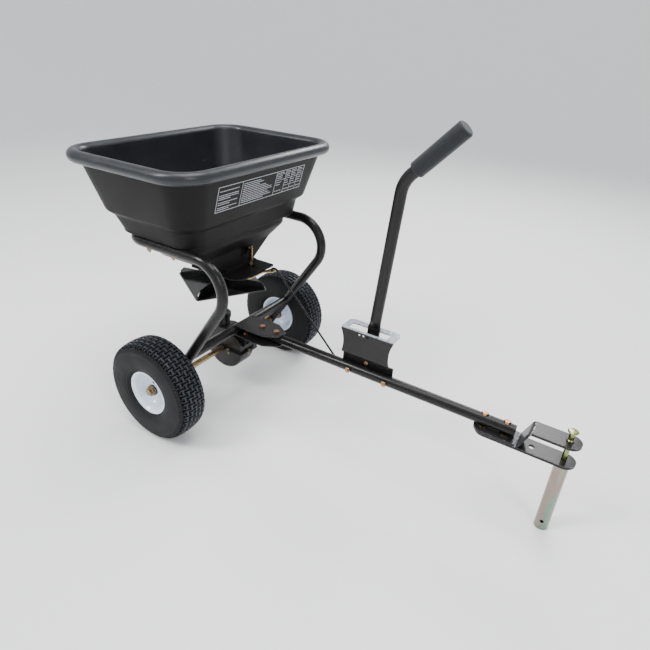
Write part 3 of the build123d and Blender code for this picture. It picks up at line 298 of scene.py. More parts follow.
def build_grain():
    """Fine moulded or sprayed grain: a height, and a slow mottle for colour and gloss."""
    board, given, out = shared_effect(
        "surface_grain",
        (("Scale", 900.0), ("Mottle Scale", 14.0)),
        (("Height", NUMBER), ("Mottle", NUMBER)),
    )
    board.put(out["Height"], board.noise(given["Scale"], detail=2.0, rough=0.6))
    board.put(out["Mottle"], board.span(board.noise(given["Mottle Scale"], 5.0), 0.3, 0.7))
    return board.tree


def build_edge_wear():
    """Where sharp edges have lost their coat: a broken-up mask along them."""
    board, given, out = shared_effect(
        "edge_wear",
        (("Radius", 0.001), ("Amount", 0.5), ("Breakup", 160.0)),
        (("Mask", NUMBER),),
    )
    rounded = board.add("ShaderNodeBevel", samples=4)
    board.put(rounded.inputs["Radius"], given["Radius"])
    flat = board.add("ShaderNodeNewGeometry").outputs["Normal"]
    match = board.add("ShaderNodeVectorMath", operation="DOT_PRODUCT")
    board.put(match.inputs[0], rounded.outputs[0])
    board.put(match.inputs[1], flat)
    edge = board.span(match.outputs["Value"], 0.985, 0.80)
    broken = board.span(board.noise(given["Breakup"], 4.0, 0.65), 0.47, 0.62)
    board.put(out["Mask"], board.times(edge, broken, given["Amount"]))
    return board.tree


def build_dust():
    """Pale dust that settles on what faces up."""
    board, given, out = shared_effect(
        "settled_dust", (("Amount", 0.3), ("Scale", 60.0)), (("Mask", NUMBER),)
    )
    normal = board.add("ShaderNodeNewGeometry").outputs["Normal"]
    split = board.add("ShaderNodeSeparateXYZ")
    board.put(split.inputs[0], normal)
    upward = board.span(split.outputs["Z"], 0.0, 0.95)
    patchy = board.span(board.noise(given["Scale"], 6.0, 0.7), 0.35, 0.75)
    board.put(out["Mask"], board.times(upward, patchy, given["Amount"]))
    return board.tree


def build_scuffs():
    """Short, thin scuffs in one main direction, as a mask."""
    board, given, out = shared_effect(
        "scuffs", (("Scale", 60.0), ("Amount", 0.5)), (("Mask", NUMBER),)
    )
    masks = []
    for stretch in ((1.0, 9.0, 7.0), (8.0, 1.0, 6.0)):
        streak = board.noise(given["Scale"], 3.0, 0.6, stretch=stretch)
        masks.append(board.span(streak, 0.70, 0.76))
    both = board.math("MAXIMUM", *masks)
    board.put(out["Mask"], board.times(both, given["Amount"]))
    return board.tree


def build_plating():
    """Yellow zinc's bloom: drifting green, straw and rose tints, and its dull patches."""
    board, given, out = shared_effect(
        "plating_bloom",
        (("Scale", 22.0), ("Tint", 0.6)),
        (("Colour", COLOUR), ("Dull", NUMBER)),
    )
    drift = board.noise(given["Scale"], 2.0, 0.5, stretch=(3.0, 3.0, 0.22))
    ramp = board.add("ShaderNodeValToRGB")
    tints = (
        (0.34, (0.15, 0.24, 0.15)),
        (0.43, (0.36, 0.34, 0.13)),
        (0.49, (0.30, 0.32, 0.30)),
        (0.55, (0.36, 0.15, 0.18)),
        (0.62, (0.15, 0.28, 0.24)),
    )
    while len(ramp.color_ramp.elements) < len(tints):
        ramp.color_ramp.elements.new(0.5)
    for element, (place, tint) in zip(ramp.color_ramp.elements, tints):
        element.position = place
        element.color = (*tint, 1)
    board.put(ramp.inputs[0], drift)
    board.put(
        out["Colour"], board.mix(given["Tint"], (0.30, 0.24, 0.12), ramp.outputs["Color"])
    )
    board.put(out["Dull"], board.span(board.noise(90.0, 5.0, 0.7), 0.40, 0.75))
    return board.tree


effects = {}


def build_effects():
    """Each shared effect, once."""
    effects.update(
        grain=build_grain(),
        wear=build_edge_wear(),
        dust=build_dust(),
        scuffs=build_scuffs(),
        plating=build_plating(),
    )


# ---------------------------------------------------------------- finishes
finishes = {}


def new_finish(name, **constants):
    """A material with one Principled shader, its constants set on the shader's sockets."""
    material = bpy.data.materials.new(name)
    material.use_nodes = True
    board = Board(material.node_tree)
    shader = material.node_tree.nodes["Principled BSDF"]
    for key, value in constants.items():
        shader.inputs[key.replace("_", " ")].default_value = value
    finishes[name] = material
    return board, shader.inputs


def moulded_plastic(name, tone, rough, grain_scale=1100.0, dust=0.1, scuffing=0.0, shine=0.14):
    """Black moulded plastic: a fine grain, slow gloss changes and a little dust."""
    board, shader = new_finish(name, IOR=1.48, Specular_IOR_Level=shine)
    grain = board.group(effects["grain"], Scale=grain_scale, Mottle_Scale=11.0)
    base = board.mix(grain["Mottle"], tone, tuple(c * 1.35 for c in tone))
    film = board.group(effects["dust"], Amount=dust, Scale=45.0)["Mask"]
    dusty = board.mix(film, base, (0.050, 0.050, 0.053))
    marks = board.group(effects["scuffs"], Scale=26.0, Amount=scuffing)["Mask"]
    board.put(shader["Base Color"], board.mix(marks, dusty, (0.11, 0.11, 0.12)))
    satin = board.blend(grain["Mottle"], rough - 0.05, rough + 0.07)
    board.put(shader["Roughness"], board.math("ADD", satin, board.times(marks, 0.2)))
    board.put(shader["Normal"], board.bump(grain["Height"], 0.22, 0.0003))


def coated_steel(name, tone, wear_and_top_highlight=0.35, peel=330.0, bends=(), bare_and_sheen_top=None, gloss=0.30):
    """Semi-gloss black coat with orange peel and light flecks of painted glint, rubbed through along edges and at
    cold bends; an optional top band is partly rubbed-through coat and partly painted sky reflection.
    """
    board, shader = new_finish(name, Specular_IOR_Level=0.10, Coat_IOR=1.5, Coat_Roughness=0.16)
    shader["Coat Weight"].default_value = 0.35
    skin = board.group(effects["grain"], Scale=peel, Mottle_Scale=24.0)
    # Light flecks over the coat: painted glints in place of the speckled highlights of its orange peel.
    speck = board.span(board.noise(1500.0, 2.0, 0.7), 0.66, 0.72)
    base = board.mix(skin["Mottle"], tone, tuple(c * 1.6 for c in tone))
    glint_flecked = board.mix(board.times(speck, 0.25), base, (0.22, 0.23, 0.25))
    film = board.group(effects["dust"], Amount=0.12, Scale=70.0)["Mask"]
    dusty = board.mix(film, glint_flecked, (0.06, 0.06, 0.063))
    bare_and_sheen = board.group(effects["wear"], Radius=0.0012, Amount=wear_and_top_highlight, Breakup=240.0)["Mask"]
    if bends:
        place = board.add("ShaderNodeSeparateXYZ")
        board.put(place.inputs[0], board.add("ShaderNodeTexCoord").outputs["Object"])
        ripple = board.math("SUBTRACT", board.noise(130.0, 4.0, 0.7), 0.5)
        jagged = board.times(ripple, 0.010)
        across = board.math("ADD", place.outputs["X"], jagged)
        for bend in bends:
            off = board.math("ABSOLUTE", board.math("SUBTRACT", across, bend))
            crack = board.span(off, 0.0011, 0.0004)
            patch = board.span(board.noise(85.0, 2.0, 0.5), 0.42, 0.52)
            bare_and_sheen = board.math("MAXIMUM", bare_and_sheen, board.times(crack, patch))
    # Top band: steel colour with a speckled breakup, partly rubbed-through coat and partly painted sky reflection
    # on the part's upward-facing top.
    if bare_and_sheen_top is not None:
        place = board.add("ShaderNodeSeparateXYZ")
        board.put(place.inputs[0], board.add("ShaderNodeTexCoord").outputs["Object"])
        level = board.span(place.outputs["Z"], bare_and_sheen_top - 0.0035, bare_and_sheen_top - 0.001)
        rubbed = board.span(board.noise(210.0, 5.0, 0.75), 0.36, 0.55, 0.25, 0.9)
        bare_and_sheen = board.math("MAXIMUM", bare_and_sheen, board.times(level, rubbed))
    board.put(shader["Base Color"], board.mix(bare_and_sheen, dusty, BARE_STEEL_AND_SHEEN))
    board.put(shader["Metallic"], board.times(bare_and_sheen, 0.5))
    satin = board.blend(skin["Mottle"], gloss, gloss + 0.12)
    board.put(shader["Roughness"], board.blend(bare_and_sheen, satin, 0.45))
    board.put(shader["Normal"], board.bump(skin["Height"], 0.55, 0.0010))


def plated_steel(name, tone, tint=0.6, rough=0.27, bloom=22.0):
    """Zinc-plated steel with its drifting bloom."""
    board, shader = new_finish(name)
    plate = board.group(effects["plating"], Scale=bloom, Tint=tint)
    base = board.mix(0.5, plate["Colour"], tone)
    grime = board.span(board.noise(240.0, 4.0, 0.7), 0.62, 0.78)
    dirty = board.mix(board.times(grime, 0.5), base, (0.16, 0.12, 0.08))
    board.put(shader["Base Color"], dirty)
    board.put(shader["Metallic"], board.blend(grime, 1.0, 0.6))
    board.put(shader["Roughness"], board.blend(plate["Dull"], rough, rough + 0.2))
    grain = board.group(effects["grain"], Scale=700.0, Mottle_Scale=30.0)
    board.put(shader["Normal"], board.bump(grain["Height"], 0.10, 0.0003))


def tyre_rubber(tone):
    """Turf tyre rubber: block tops paler and bluer with a painted highlight, grooves darkened with painted shade,
    and a few caught grains of grit.
    """
    board, shader = new_finish("tyre_rubber", Specular_IOR_Level=0.16)
    grain = board.group(effects["grain"], Scale=620.0, Mottle_Scale=26.0)
    cut = board.add("ShaderNodeAttribute", attribute_name="cut").outputs["Fac"]
    top = board.add("ShaderNodeAttribute", attribute_name="tread").outputs["Fac"]
    wall = board.mix(grain["Mottle"], tone, tuple(c * 1.5 for c in tone))
    film = board.group(effects["dust"], Amount=0.20, Scale=90.0)["Mask"]
    dusty = board.mix(film, wall, (0.045, 0.050, 0.058))
    # Block tops go paler and bluer: a painted highlight, broken up by noise.
    highlight_breakup = board.span(board.noise(150.0, 5.0, 0.7), 0.30, 0.70, 0.35, 1.0)
    wear_and_top_highlight = board.mix(board.times(top, highlight_breakup), dusty, (0.040, 0.044, 0.054))
    # Grooves go near black: painted shade in the cuts.
    groove_shaded = board.mix(cut, wear_and_top_highlight, (0.0022, 0.0022, 0.0024))
    speck = board.span(board.noise(420.0, 3.0, 0.6), 0.72, 0.76)
    gritty = board.mix(board.times(speck, 0.3), groove_shaded, (0.20, 0.17, 0.13))
    board.put(shader["Base Color"], gritty)
    satin = board.blend(grain["Mottle"], 0.46, 0.62)
    board.put(shader["Roughness"], board.blend(top, satin, 0.40))
    board.put(shader["Normal"], board.bump(grain["Height"], 0.25, 0.0006))


def wheel_paint(tone):
    """Gloss pale wheel paint, turned darker and browner in its corners by an occlusion mask."""
    board, shader = new_finish("wheel_paint", Coat_Roughness=0.08)
    shader["Coat Weight"].default_value = 0.5
    skin = board.group(effects["grain"], Scale=260.0, Mottle_Scale=18.0)
    base = board.mix(skin["Mottle"], tone, tuple(min(1.0, c * 1.08) for c in tone))
    # Darker and browner where the occlusion mask finds corners and hollows.
    hollow = board.add("ShaderNodeAmbientOcclusion", samples=8, inside=False)
    hollow.inputs["Distance"].default_value = 0.018
    corner = board.span(hollow.outputs["AO"], 0.75, 0.25)
    broken = board.span(board.noise(120.0, 5.0, 0.7), 0.35, 0.65)
    corner_darkening = board.times(corner, broken, 0.55)
    board.put(shader["Base Color"], board.mix(corner_darkening, base, (0.20, 0.17, 0.14)))
    board.put(shader["Roughness"], board.blend(corner_darkening, 0.16, 0.6))
    board.put(shader["Normal"], board.bump(skin["Height"], 0.12, 0.0005))


def soft_grip(tone):
    """Soft dipped grip: matt, with a fine pebble."""
    board, shader = new_finish(
        "soft_grip", Specular_IOR_Level=0.2, Sheen_Weight=0.15, Sheen_Roughness=0.5
    )
    grain = board.group(effects["grain"], Scale=480.0, Mottle_Scale=40.0)
    base = board.mix(grain["Mottle"], tone, tuple(c * 1.5 for c in tone))
    film = board.group(effects["dust"], Amount=0.3, Scale=80.0)["Mask"]
    board.put(shader["Base Color"], board.mix(film, base, (0.05, 0.056, 0.064)))
    board.put(shader["Roughness"], board.blend(grain["Mottle"], 0.50, 0.66))
    board.put(shader["Normal"], board.bump(grain["Height"], 0.45, 0.0005))


def gear_nylon():
    """Natural nylon with a trace of grease."""
    board, shader = new_finish("gear_nylon", IOR=1.53)
    grain = board.group(effects["grain"], Scale=500.0, Mottle_Scale=35.0)
    base = board.mix(grain["Mottle"], (0.60, 0.57, 0.50), (0.46, 0.42, 0.34))
    board.put(shader["Base Color"], base)
    board.put(shader["Roughness"], board.blend(grain["Mottle"], 0.28, 0.5))
    board.put(shader["Normal"], board.bump(grain["Height"], 0.1, 0.0003))


def printed_ink(tone):
    """Screen-printed lines, thinning where they are rubbed."""
    board, shader = new_finish("printed_ink", IOR=1.45)
    thin = board.span(board.noise(320.0, 4.0, 0.7), 0.56, 0.75)
    board.put(shader["Base Color"], board.mix(thin, tone, tuple(c * 0.45 for c in tone)))
    board.put(shader["Roughness"], board.blend(thin, 0.42, 0.6))


def build_finishes(colours):
    """Every finish of the spreader."""
    build_effects()
    strap_low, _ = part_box("hitch_tongue_upper")
    bends = [strap_low.x + offset * MM for offset in (94.0, 117.5)]
    plate = tuple(c * 1.9 for c in colours.paint)
    moulded_plastic("hopper_plastic", tuple(colours.plastic), 0.50, dust=0.10, scuffing=0.25)
    # Painted sky reflection: the rolled rim is the hopper's own plastic, made bluer and paler where it catches the
    # sky.
    moulded_plastic("hopper_roll", (0.0085, 0.0105, 0.0135), 0.32, 700.0, 0.25, 0.9, 0.5)
    # Painted sky light: the inside is the hopper's own plastic, made bluer and paler where the sky lights it.
    moulded_plastic("hopper_lining", (0.0075, 0.0085, 0.0115), 0.42, 900.0, 0.2, 0.6, 0.4)
    moulded_plastic("case_plastic", (0.0050, 0.0048, 0.0048), 0.34, 800.0, 0.1, 0.2, 0.4)
    moulded_plastic("impeller_plastic", (0.0040, 0.0042, 0.0044), 0.15, 300.0, 0.08, 0.2, 0.6)
    moulded_plastic("bush_plastic", (0.008, 0.008, 0.0085), 0.38, 700.0, 0.05)
    moulded_plastic("stem_rubber", (0.006, 0.006, 0.006), 0.55, 700.0, 0.05)
    coated_steel("frame_coat", tuple(colours.paint), gloss=0.24)
    coated_steel("lever_coat", tuple(c * 1.2 for c in colours.paint), 0.2, 500.0, gloss=0.42)
    coated_steel("plate_coat", plate, 0.4, 600.0, gloss=0.45)
    # The bracket's top band carries painted sky reflection along with its rubbed-through coat.
    coated_steel(
        "bracket_coat", plate, 0.6, 600.0, bare_and_sheen_top=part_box("lever_bracket")[1].z, gloss=0.45
    )
    coated_steel("strap_coat", plate, 0.6, 420.0, bends, gloss=0.34)
    coated_steel("lower_strap_coat", plate, 0.6, 420.0, gloss=0.34)
    plated_steel("yellow_zinc", tuple(colours.zinc))
    plated_steel("pin_zinc", (0.24, 0.30, 0.07), 0.55, 0.18, 40.0)
    plated_steel("stand_zinc", (0.22, 0.25, 0.19), 0.9, 0.20, 13.0)
    plated_steel("copper_zinc", tuple(colours.copper), 0.15, 0.28, 60.0)
    plated_steel("nut_zinc", (0.17, 0.10, 0.04), 0.4, 0.30, 60.0)
    tyre_rubber(tuple(colours.rubber))
    wheel_paint(tuple(colours.rim))
    soft_grip((0.010, 0.0115, 0.013))
    gear_nylon()
    printed_ink(tuple(colours.ink))


slot_finishes = {
    "hopper": "hopper_plastic",
    "frame_paint": "frame_coat",
    "gearbox": "case_plastic",
    "impeller": "impeller_plastic",
    "gear": "gear_nylon",
    "bush": "bush_plastic",
    "rim": "wheel_paint",
    "tyre": "tyre_rubber",
    "stem": "stem_rubber",
    "zinc": "yellow_zinc",
    "bolt": "copper_zinc",
    "grip": "soft_grip",
}
node_finishes = {
    "gusset_top": "plate_coat",
    "gusset_bottom": "plate_coat",
    "lever_bracket": "bracket_coat",
    "lever_tube": "lever_coat",
    "hitch_tongue_upper": "strap_coat",
    "hitch_tongue_lower": "lower_strap_coat",
    "stand_tube": "stand_zinc",
    "hitch_pin": "pin_zinc",
    "axle_nuts": "nut_zinc",
    "lever_pivot_nut": "nut_zinc",
}


# ---------------------------------------------------------------- hopper
def hopper_levels():
    """The hopper's outside from its foot up, as (height, back, front, half width, corner).

    Heights are above the hopper's foot; back and front are from the axle.
    """
    rows = (
        (0.0, -60.0, 49.0, 72.0, 12.0),
        (3.0, -60.0, 49.0, 72.0, 12.0),
        (3.0, -49.0, 44.3, 64.0, 20.0),
        (52.0, -95.0, 44.3, 152.0, 40.0),
        (87.0, -111.0, 71.0, 182.0, 48.0),
        (110.0, -111.0, 71.0, 182.0, 48.0),
        (110.0, -157.5, 88.5, 206.0, 52.0),
        (116.0, -157.5, 88.5, 206.0, 52.0),
        (150.0, -177.3, 92.7, 216.0, 56.0),
        (161.0, -190.2, 107.8, 229.5, 60.0),
        (268.5, -220.8, 137.6, 259.7, 72.0),
    )
    return [tuple(value * MM for value in row) for row in rows]


def inset(level, wall):
    """A level moved inwards by the wall, and the ledge's floor up by it."""
    height, back, front, half, corner = level
    if abs(height - LEDGE_HEIGHT) < 1e-6:
        height += wall
    return (height, back + wall, front - wall, half - wall, corner - wall)


def soften(levels, size, steps=3):
    """Round every turn of a run of levels over a short length on both sides."""
    result = [levels[0]]
    for before, here, after in zip(levels, levels[1:], levels[2:]):
        ends = []
        for other in (before, after):
            gap = sqrt(sum((a - b) ** 2 for a, b in zip(here[:4], other[:4])))
            share = min(size / gap, 0.42) if gap else 0.0
            ends.append([h + (o - h) * share for h, o in zip(here, other)])
        for step in range(steps + 1):
            t = step / steps
            result.append(
                tuple(
                    (1 - t) ** 2 * a + 2 * t * (1 - t) * h + t * t * b
                    for a, h, b in zip(ends[0], here, ends[1])
                )
            )
    result.append(levels[-1])
    return result


def roll_levels(low, high, roll):
    """The rolled rim's levels, from under its outside over the top to its inside."""
    half_x, half_y = (high.x - low.x) / 2 - roll, high.y - roll
    middle = (low.x + high.x) / 2 - axle_place.x
    rim_height = high.z - low.z - roll
    start, sweep, steps = radians(-80), radians(250), 16
    rolled = []
    for step in range(steps + 1):
        turn = start + sweep * step / steps
        out, up = roll * cos(turn), roll * sin(turn)
        back, front = middle - half_x - out, middle + half_x + out
        rolled.append((rim_height + up, back, front, half_y + out, RIM_CORNER + out))
    return rolled


def level_ring(level, foot, corner_points, side_points=5):
    """The points of one rounded rectangle, anticlockwise from above."""
    height, back, front, half, corner = level
    back, front = back + axle_place.x, front + axle_place.x
    centres = (
        (front - corner, half - corner, 0.0),
        (back + corner, half - corner, pi / 2),
        (back + corner, -half + corner, pi),
        (front - corner, -half + corner, 1.5 * pi),
    )
    corners = []
    for x, y, start in centres:
        corners.append(
            [
                (x + corner * cos(start + pi / 2 * i / corner_points),
                 y + corner * sin(start + pi / 2 * i / corner_points))
                for i in range(corner_points + 1)
            ]
        )
    ring = []
    for index, arc in enumerate(corners):
        ring += arc
        (ax, ay), (bx, by) = arc[-1], corners[(index + 1) % 4][0]
        for i in range(1, side_points + 1):
            t = i / (side_points + 1)
            ring.append((ax + (bx - ax) * t, ay + (by - ay) * t))
    return [(x, y, foot + height) for x, y in ring]


class SPREADER_OT_hopper(bpy.types.Operator):
    """Build the moulded hopper with its stepped walls and rolled rim."""

    bl_idname = "spreader.hopper"
    bl_label = "Hopper"

    def execute(self, context):
        sizes = context.scene.spreader_hopper
        clear_piece("hopper_shell")
        low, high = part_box("hopper")
        levels = hopper_levels()
        outside = soften(levels, sizes.rounding)
        rolled = roll_levels(low, high, sizes.roll)
        inner = [inset(level, sizes.wall) for level in reversed(levels[2:])]
        inner[-1] = (0.0, *inner[-1][1:])
        inside = soften(inner, sizes.rounding)
        profile = outside + rolled + inside
        points = []
        for level in profile:
            points += level_ring(level, low.z, sizes.corner_points)
        ring_size = len(points) // len(profile)
        faces = loops_skin(len(profile), ring_size, closed=True)
        # Bluer, paler copies of the plastic go on the roll and the inside: painted sky reflection and painted sky
        # light.
        coats = [finishes[key] for key in ("hopper_plastic", "hopper_roll", "hopper_lining")]
        shell = new_piece("hopper_shell", points, faces, coats)
        roll_start, lining_start = len(outside), len(outside) + len(rolled)
        for face in shell.data.polygons:
            ring = face.index // ring_size
            face.material_index = (ring >= roll_start) + (ring >= lining_start - 1)
        crease(shell, radians(50))
        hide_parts("hopper")
        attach(shell, "frame")
        return {"FINISHED"}


# ---------------------------------------------------------------- printed panel
def front_wall_frame():
    """A matrix on the hopper's front wall: x to the left wheel, y up the wall, z outwards."""
    lower, upper = hopper_levels()[-2:]
    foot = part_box("hopper")[0].z
    base = Vector((axle_place.x + lower[2], 0, foot + lower[0]))
    top = Vector((axle_place.x + upper[2], 0, foot + upper[0]))
    up = (top - base).normalized()
    across = Vector((0, 1, 0))
    out = across.cross(up)
    turn = Matrix((across, up, out)).transposed().to_4x4()
    return Matrix.Translation(base) @ turn


class SPREADER_OT_label(bpy.types.Operator):
    """Print the outlined panel of plain bars and a table on the hopper's front."""

    bl_idname = "spreader.label"
    bl_label = "Printed panel"

    def execute(self, context):
        sizes = context.scene.spreader_label
        clear_piece("printed_panel")
        wall = front_wall_frame()
        width, height, line = sizes.width, sizes.height, sizes.line
        left, foot = -158 * MM, 33 * MM
        dice = random.Random(7)
        row_gap, writing = 4.6 * MM, 1.3 * MM
        points, faces = [], []
        block_faces = (
            (3, 2, 1, 0), (4, 5, 6, 7), (0, 1, 5, 4), (1, 2, 6, 5), (2, 3, 7, 6), (3, 0, 4, 7)
        )

        def bar(x0, x1, y0, y1, lift=0.35 * MM):
            """One printed rectangle, a thin block standing on the wall."""
            first = len(points)
            for z in (-0.05 * MM, lift):
                for x, y in ((x0, y0), (x1, y0), (x1, y1), (x0, y1)):
                    points.append(wall @ Vector((left + x, foot + y, z)))
            for quad in block_faces:
                faces.append(tuple(first + i for i in quad))

        def words(x0, x1, y, tall, gap=1.3 * MM):
            """A row of short dashes in place of writing."""
            x = x0
            while x < x1:
                end = min(x + dice.uniform(3.5, 9.5) * MM, x1)
                if end - x > 1.5 * MM:
                    bar(x, end, y, y + tall)
                x = end + gap

        for y in (0.0, height - line):
            bar(0, width, y, y + line)
        first_end, second_end, margin = 0.247 * width, 0.64 * width, 5 * MM
        for x, wide in ((0.0, 1.0), (first_end, 0.8), (second_end, 0.8), (width - line, 1.0)):
            bar(x, x + wide * line, line, height - line)
        for block, rows in ((0.80, 1), (0.64, 3), (0.36, 2), (0.16, 2)):
            for row in range(rows):
                y = block * height - row * row_gap
                short = 0.55 if row == rows - 1 and rows > 1 else 0.93
                words(margin, margin + (first_end - 2 * margin) * short, y, writing)
        second = (first_end + margin, second_end - margin)
        row_lengths = (0.55, 0.62, 0.5, 0.74, 0.8, 0.92, 0.95, 0.8, 0.86, 0.94, 0.7)
        for row, full in enumerate(row_lengths):
            y = height - 8.0 * MM - row * row_gap
            words(second[0], second[0] + (second[1] - second[0]) * full, y, writing)
        table = (second_end, width - line)
        columns = [table[0] + (table[1] - table[0]) * share for share in (0.34, 0.56, 0.78)]
        for x in columns:
            bar(x, x + 0.7 * line, line, height - line)
        for y in (0.30 * height, 0.60 * height, 0.84 * height):
            bar(columns[0] if y < 0.5 * height else table[0], table[1], y, y + 0.7 * line)
        cells = [table[0], *columns, table[1]]
        for x0, x1 in zip(cells, cells[1:]):
            spare = 0.12 * (x1 - x0)
            for y in (0.13, 0.40, 0.50, 0.68, 0.76, 0.90):
                end = x1 - spare - dice.uniform(0, 0.3) * (x1 - x0)
                words(x0 + spare, end, y * height, 1.4 * MM)
        panel = new_piece("printed_panel", points, faces, [finishes["printed_ink"]], smooth=False)
        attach(panel, "frame")
        return {"FINISHED"}


# ---------------------------------------------------------------- tyres
TREAD_EDGE = 120.5 * MM
SHOULDER_EDGE = 113 * MM


def smooth_curve(knots, fine, coarse, tread_radius):
    """Points along a Catmull-Rom curve through knots, closer together on the tread."""
    result = []
    padded = [Vector(k) for k in (knots[0], *knots, knots[-1])]
    for p0, p1, p2, p3 in zip(padded, padded[1:], padded[2:], padded[3:]):
        gap = fine if min(p1.x, p2.x) > tread_radius else coarse
        count = ceil((p2 - p1).length / gap)
        for step in range(count):
            t = step / count
            result.append(
                0.5 * (2 * p1 + (p2 - p0) * t + (2 * p0 - 5 * p1 + 4 * p2 - p3) * t**2
                       + (3 * p1 - p0 - 3 * p2 + p3) * t**3)
            )
    return result + [padded[-1]]


def saw(value):
    """A value's distance from the nearest whole number, 0 to 0.5."""
    return abs(value - round(value))


def tread_relief(turn, across, pitch):
    """How deep the tread is cut at a place: 0 on a block, 1 in a groove.

    turn counts pitches round the tyre; across and pitch are in metres.
    """
    side = abs(across)
    step = 1.9 * MM if (turn % 1.0) < 0.5 else -1.9 * MM
    edges = (6.4 * MM + step, 19.2 * MM - step, 31.6 * MM + step)
    groove = min(abs(side - edge) for edge in edges) - 1.15 * MM
    row = sum(side > edge for edge in edges)
    slot = saw(turn - (0.25, 0.75)[row % 2]) * pitch - 1.35 * MM
    nearest = min(groove, slot)
    return min(1.0, max(0.0, 1.0 - nearest / (0.7 * MM)))


class SPREADER_OT_tyres(bpy.types.Operator):
    """Build both turf tyres with staggered tread blocks and slotted shoulders."""

    bl_idname = "spreader.tyres"
    bl_label = "Tyres"

    def execute(self, context):
        sizes = context.scene.spreader_tyre
        knots = (
            (57.6, 30.2), (61.0, 34.6), (66.0, 38.0), (78.0, 40.6), (92.0, 41.0),
            (104.0, 40.4), (114.0, 38.5), (121.0, 35.3), (125.4, 31.6), (128.0, 24.0),
            (129.4, 12.0), (130.0, 0.0),
        )
        mirrored = [(r, -y) for r, y in reversed(knots[:-1])]
        path = [(r * MM, y * MM) for r, y in (*knots, *mirrored)]
        outside = smooth_curve(path, fine=0.85 * MM, coarse=1.4 * MM, tread_radius=119 * MM)
        inner = [(53.8, -30.2), (50.1, -25.4), (50.1, -15.0), (56.0, -13.0), (56.0, 13.0),
                 (50.1, 15.0), (50.1, 25.4), (53.8, 30.2)]
        inner = [Vector((r * MM, y * MM)) for r, y in inner]
        steps = sizes.pitches * sizes.steps
        pitch = 2 * pi * knots[-1][0] * MM / sizes.pitches
        normals = []
        for i, point in enumerate(outside):
            before, after = outside[max(i - 1, 0)], outside[min(i + 1, len(outside) - 1)]
            run = (after - before).normalized()
            normals.append(Vector((-run.y, run.x)))
        section_size = len(outside) + len(inner)
        for name, body in (("left", "axle_drive"), ("right", "free_wheel")):
            clear_piece(f"tyre_tread_{name}")
            low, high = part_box(f"tyre_{name}")
            centre = (low + high) / 2
            points, cuts, tops = [], [], []
            for step in range(steps):
                angle = 2 * pi * step / steps
                turn = step / sizes.steps
                ring = []
                for point, normal in zip(outside, normals):
                    radius, across = point
                    cut = self.cut_depth(radius, across, turn, pitch, sizes.groove)
                    ring.append((radius + normal.x * cut, across + normal.y * cut))
                    # Masks for the finish: the cut mask darkens grooves as painted shade, the tread mask pales
                    # block tops as a painted highlight.
                    cuts.append(min(1.0, max(0.0, -cut / sizes.groove)))
                    tops.append(1.0 if radius > 122.5 * MM and cut > -0.5 * MM else 0.0)
                cuts += [0.0] * len(inner)
                tops += [0.0] * len(inner)
                for r, y in (*ring, *inner):
                    points.append(
                        (centre.x + r * cos(angle), centre.y + y, centre.z + r * sin(angle))
                    )
            faces = loops_skin(steps, section_size, closed=True, flip=True)
            tyre = new_piece(f"tyre_tread_{name}", points, faces, [finishes["tyre_rubber"]])
            for label, values in (("cut", cuts), ("tread", tops)):
                mask = tyre.data.attributes.new(label, "FLOAT", "POINT")
                mask.data.foreach_set("value", values)
            crease(tyre, radians(48))
            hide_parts(f"tyre_{name}")
            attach(tyre, body)
        return {"FINISHED"}

    @staticmethod
    def cut_depth(radius, across, turn, pitch, groove):
        """How far the surface stands out (negative: cut in) along its normal."""
        if radius > TREAD_EDGE:
            return -groove * tread_relief(turn, across, pitch)
        if radius > SHOULDER_EDGE:
            slot = saw(2 * turn) * pitch / 2 - 1.3 * MM
            return -1.1 * MM * min(1.0, max(0.0, 1.0 - slot / (0.9 * MM)))
        ribs = ((110.0, 1.6, 0.6), (102.0, 1.6, -0.5), (73.0, 1.6, 0.6), (66.5, 1.6, 0.7))
        for at, half, rise in ribs:
            off = abs(radius - at * MM) / (half * MM)
            if off < 1:
                return rise * MM * (1 - off)
        return 0.0


# ---------------------------------------------------------------- grip
class SPREADER_OT_grip(bpy.types.Operator):
    """Build the lever's soft grip with its rounded ends."""

    bl_idname = "spreader.grip"
    bl_label = "Lever grip"

    def execute(self, context):
        sizes = context.scene.spreader_grip
        clear_piece("soft_grip_sleeve")
        low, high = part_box("lever_grip")
        centre, radius = (low + high) / 2, (high.y - low.y) / 2
        lean, edge = sizes.lean, sizes.edge
        reach = (high.x - low.x - 2 * radius * cos(lean)) / sin(lean)
        along = Vector((sin(lean), 0, cos(lean)))
        start = centre - along * reach / 2
        beside, over = Vector((0, 1, 0)), along.cross(Vector((0, 1, 0)))
        profile = [(0.0, radius - 3.2 * MM), (0.0, radius - 1.4 * MM)]
        profile += [(1.2 * MM, radius - 0.3 * MM), (6 * MM, radius)]
        profile += [(8.5 * MM, radius - 0.6 * MM), (11 * MM, radius - 0.1 * MM)]
        profile += [(reach * share, radius) for share in (0.3, 0.5, 0.7)]
        for step in range(7):
            turn = pi / 2 * step / 6
            profile.append((reach - edge + edge * sin(turn), radius - edge + edge * cos(turn)))
        profile += [(reach, (radius - edge) * share) for share in (0.7, 0.35, 0.02)]
        count = 48
        points = []
        for distance, r in profile:
            for i in range(count):
                angle = 2 * pi * i / count
                around = beside * cos(angle) + over * sin(angle)
                points.append(start + along * distance + around * r)
        faces = loops_skin(len(profile), count)
        last = len(points) - count
        faces.append(tuple(range(last, last + count)))
        grip = new_piece("soft_grip_sleeve", points, faces, [finishes["soft_grip"]])
        crease(grip, radians(60))
        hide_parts("lever_grip")
        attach(grip, "lever")
        return {"FINISHED"}


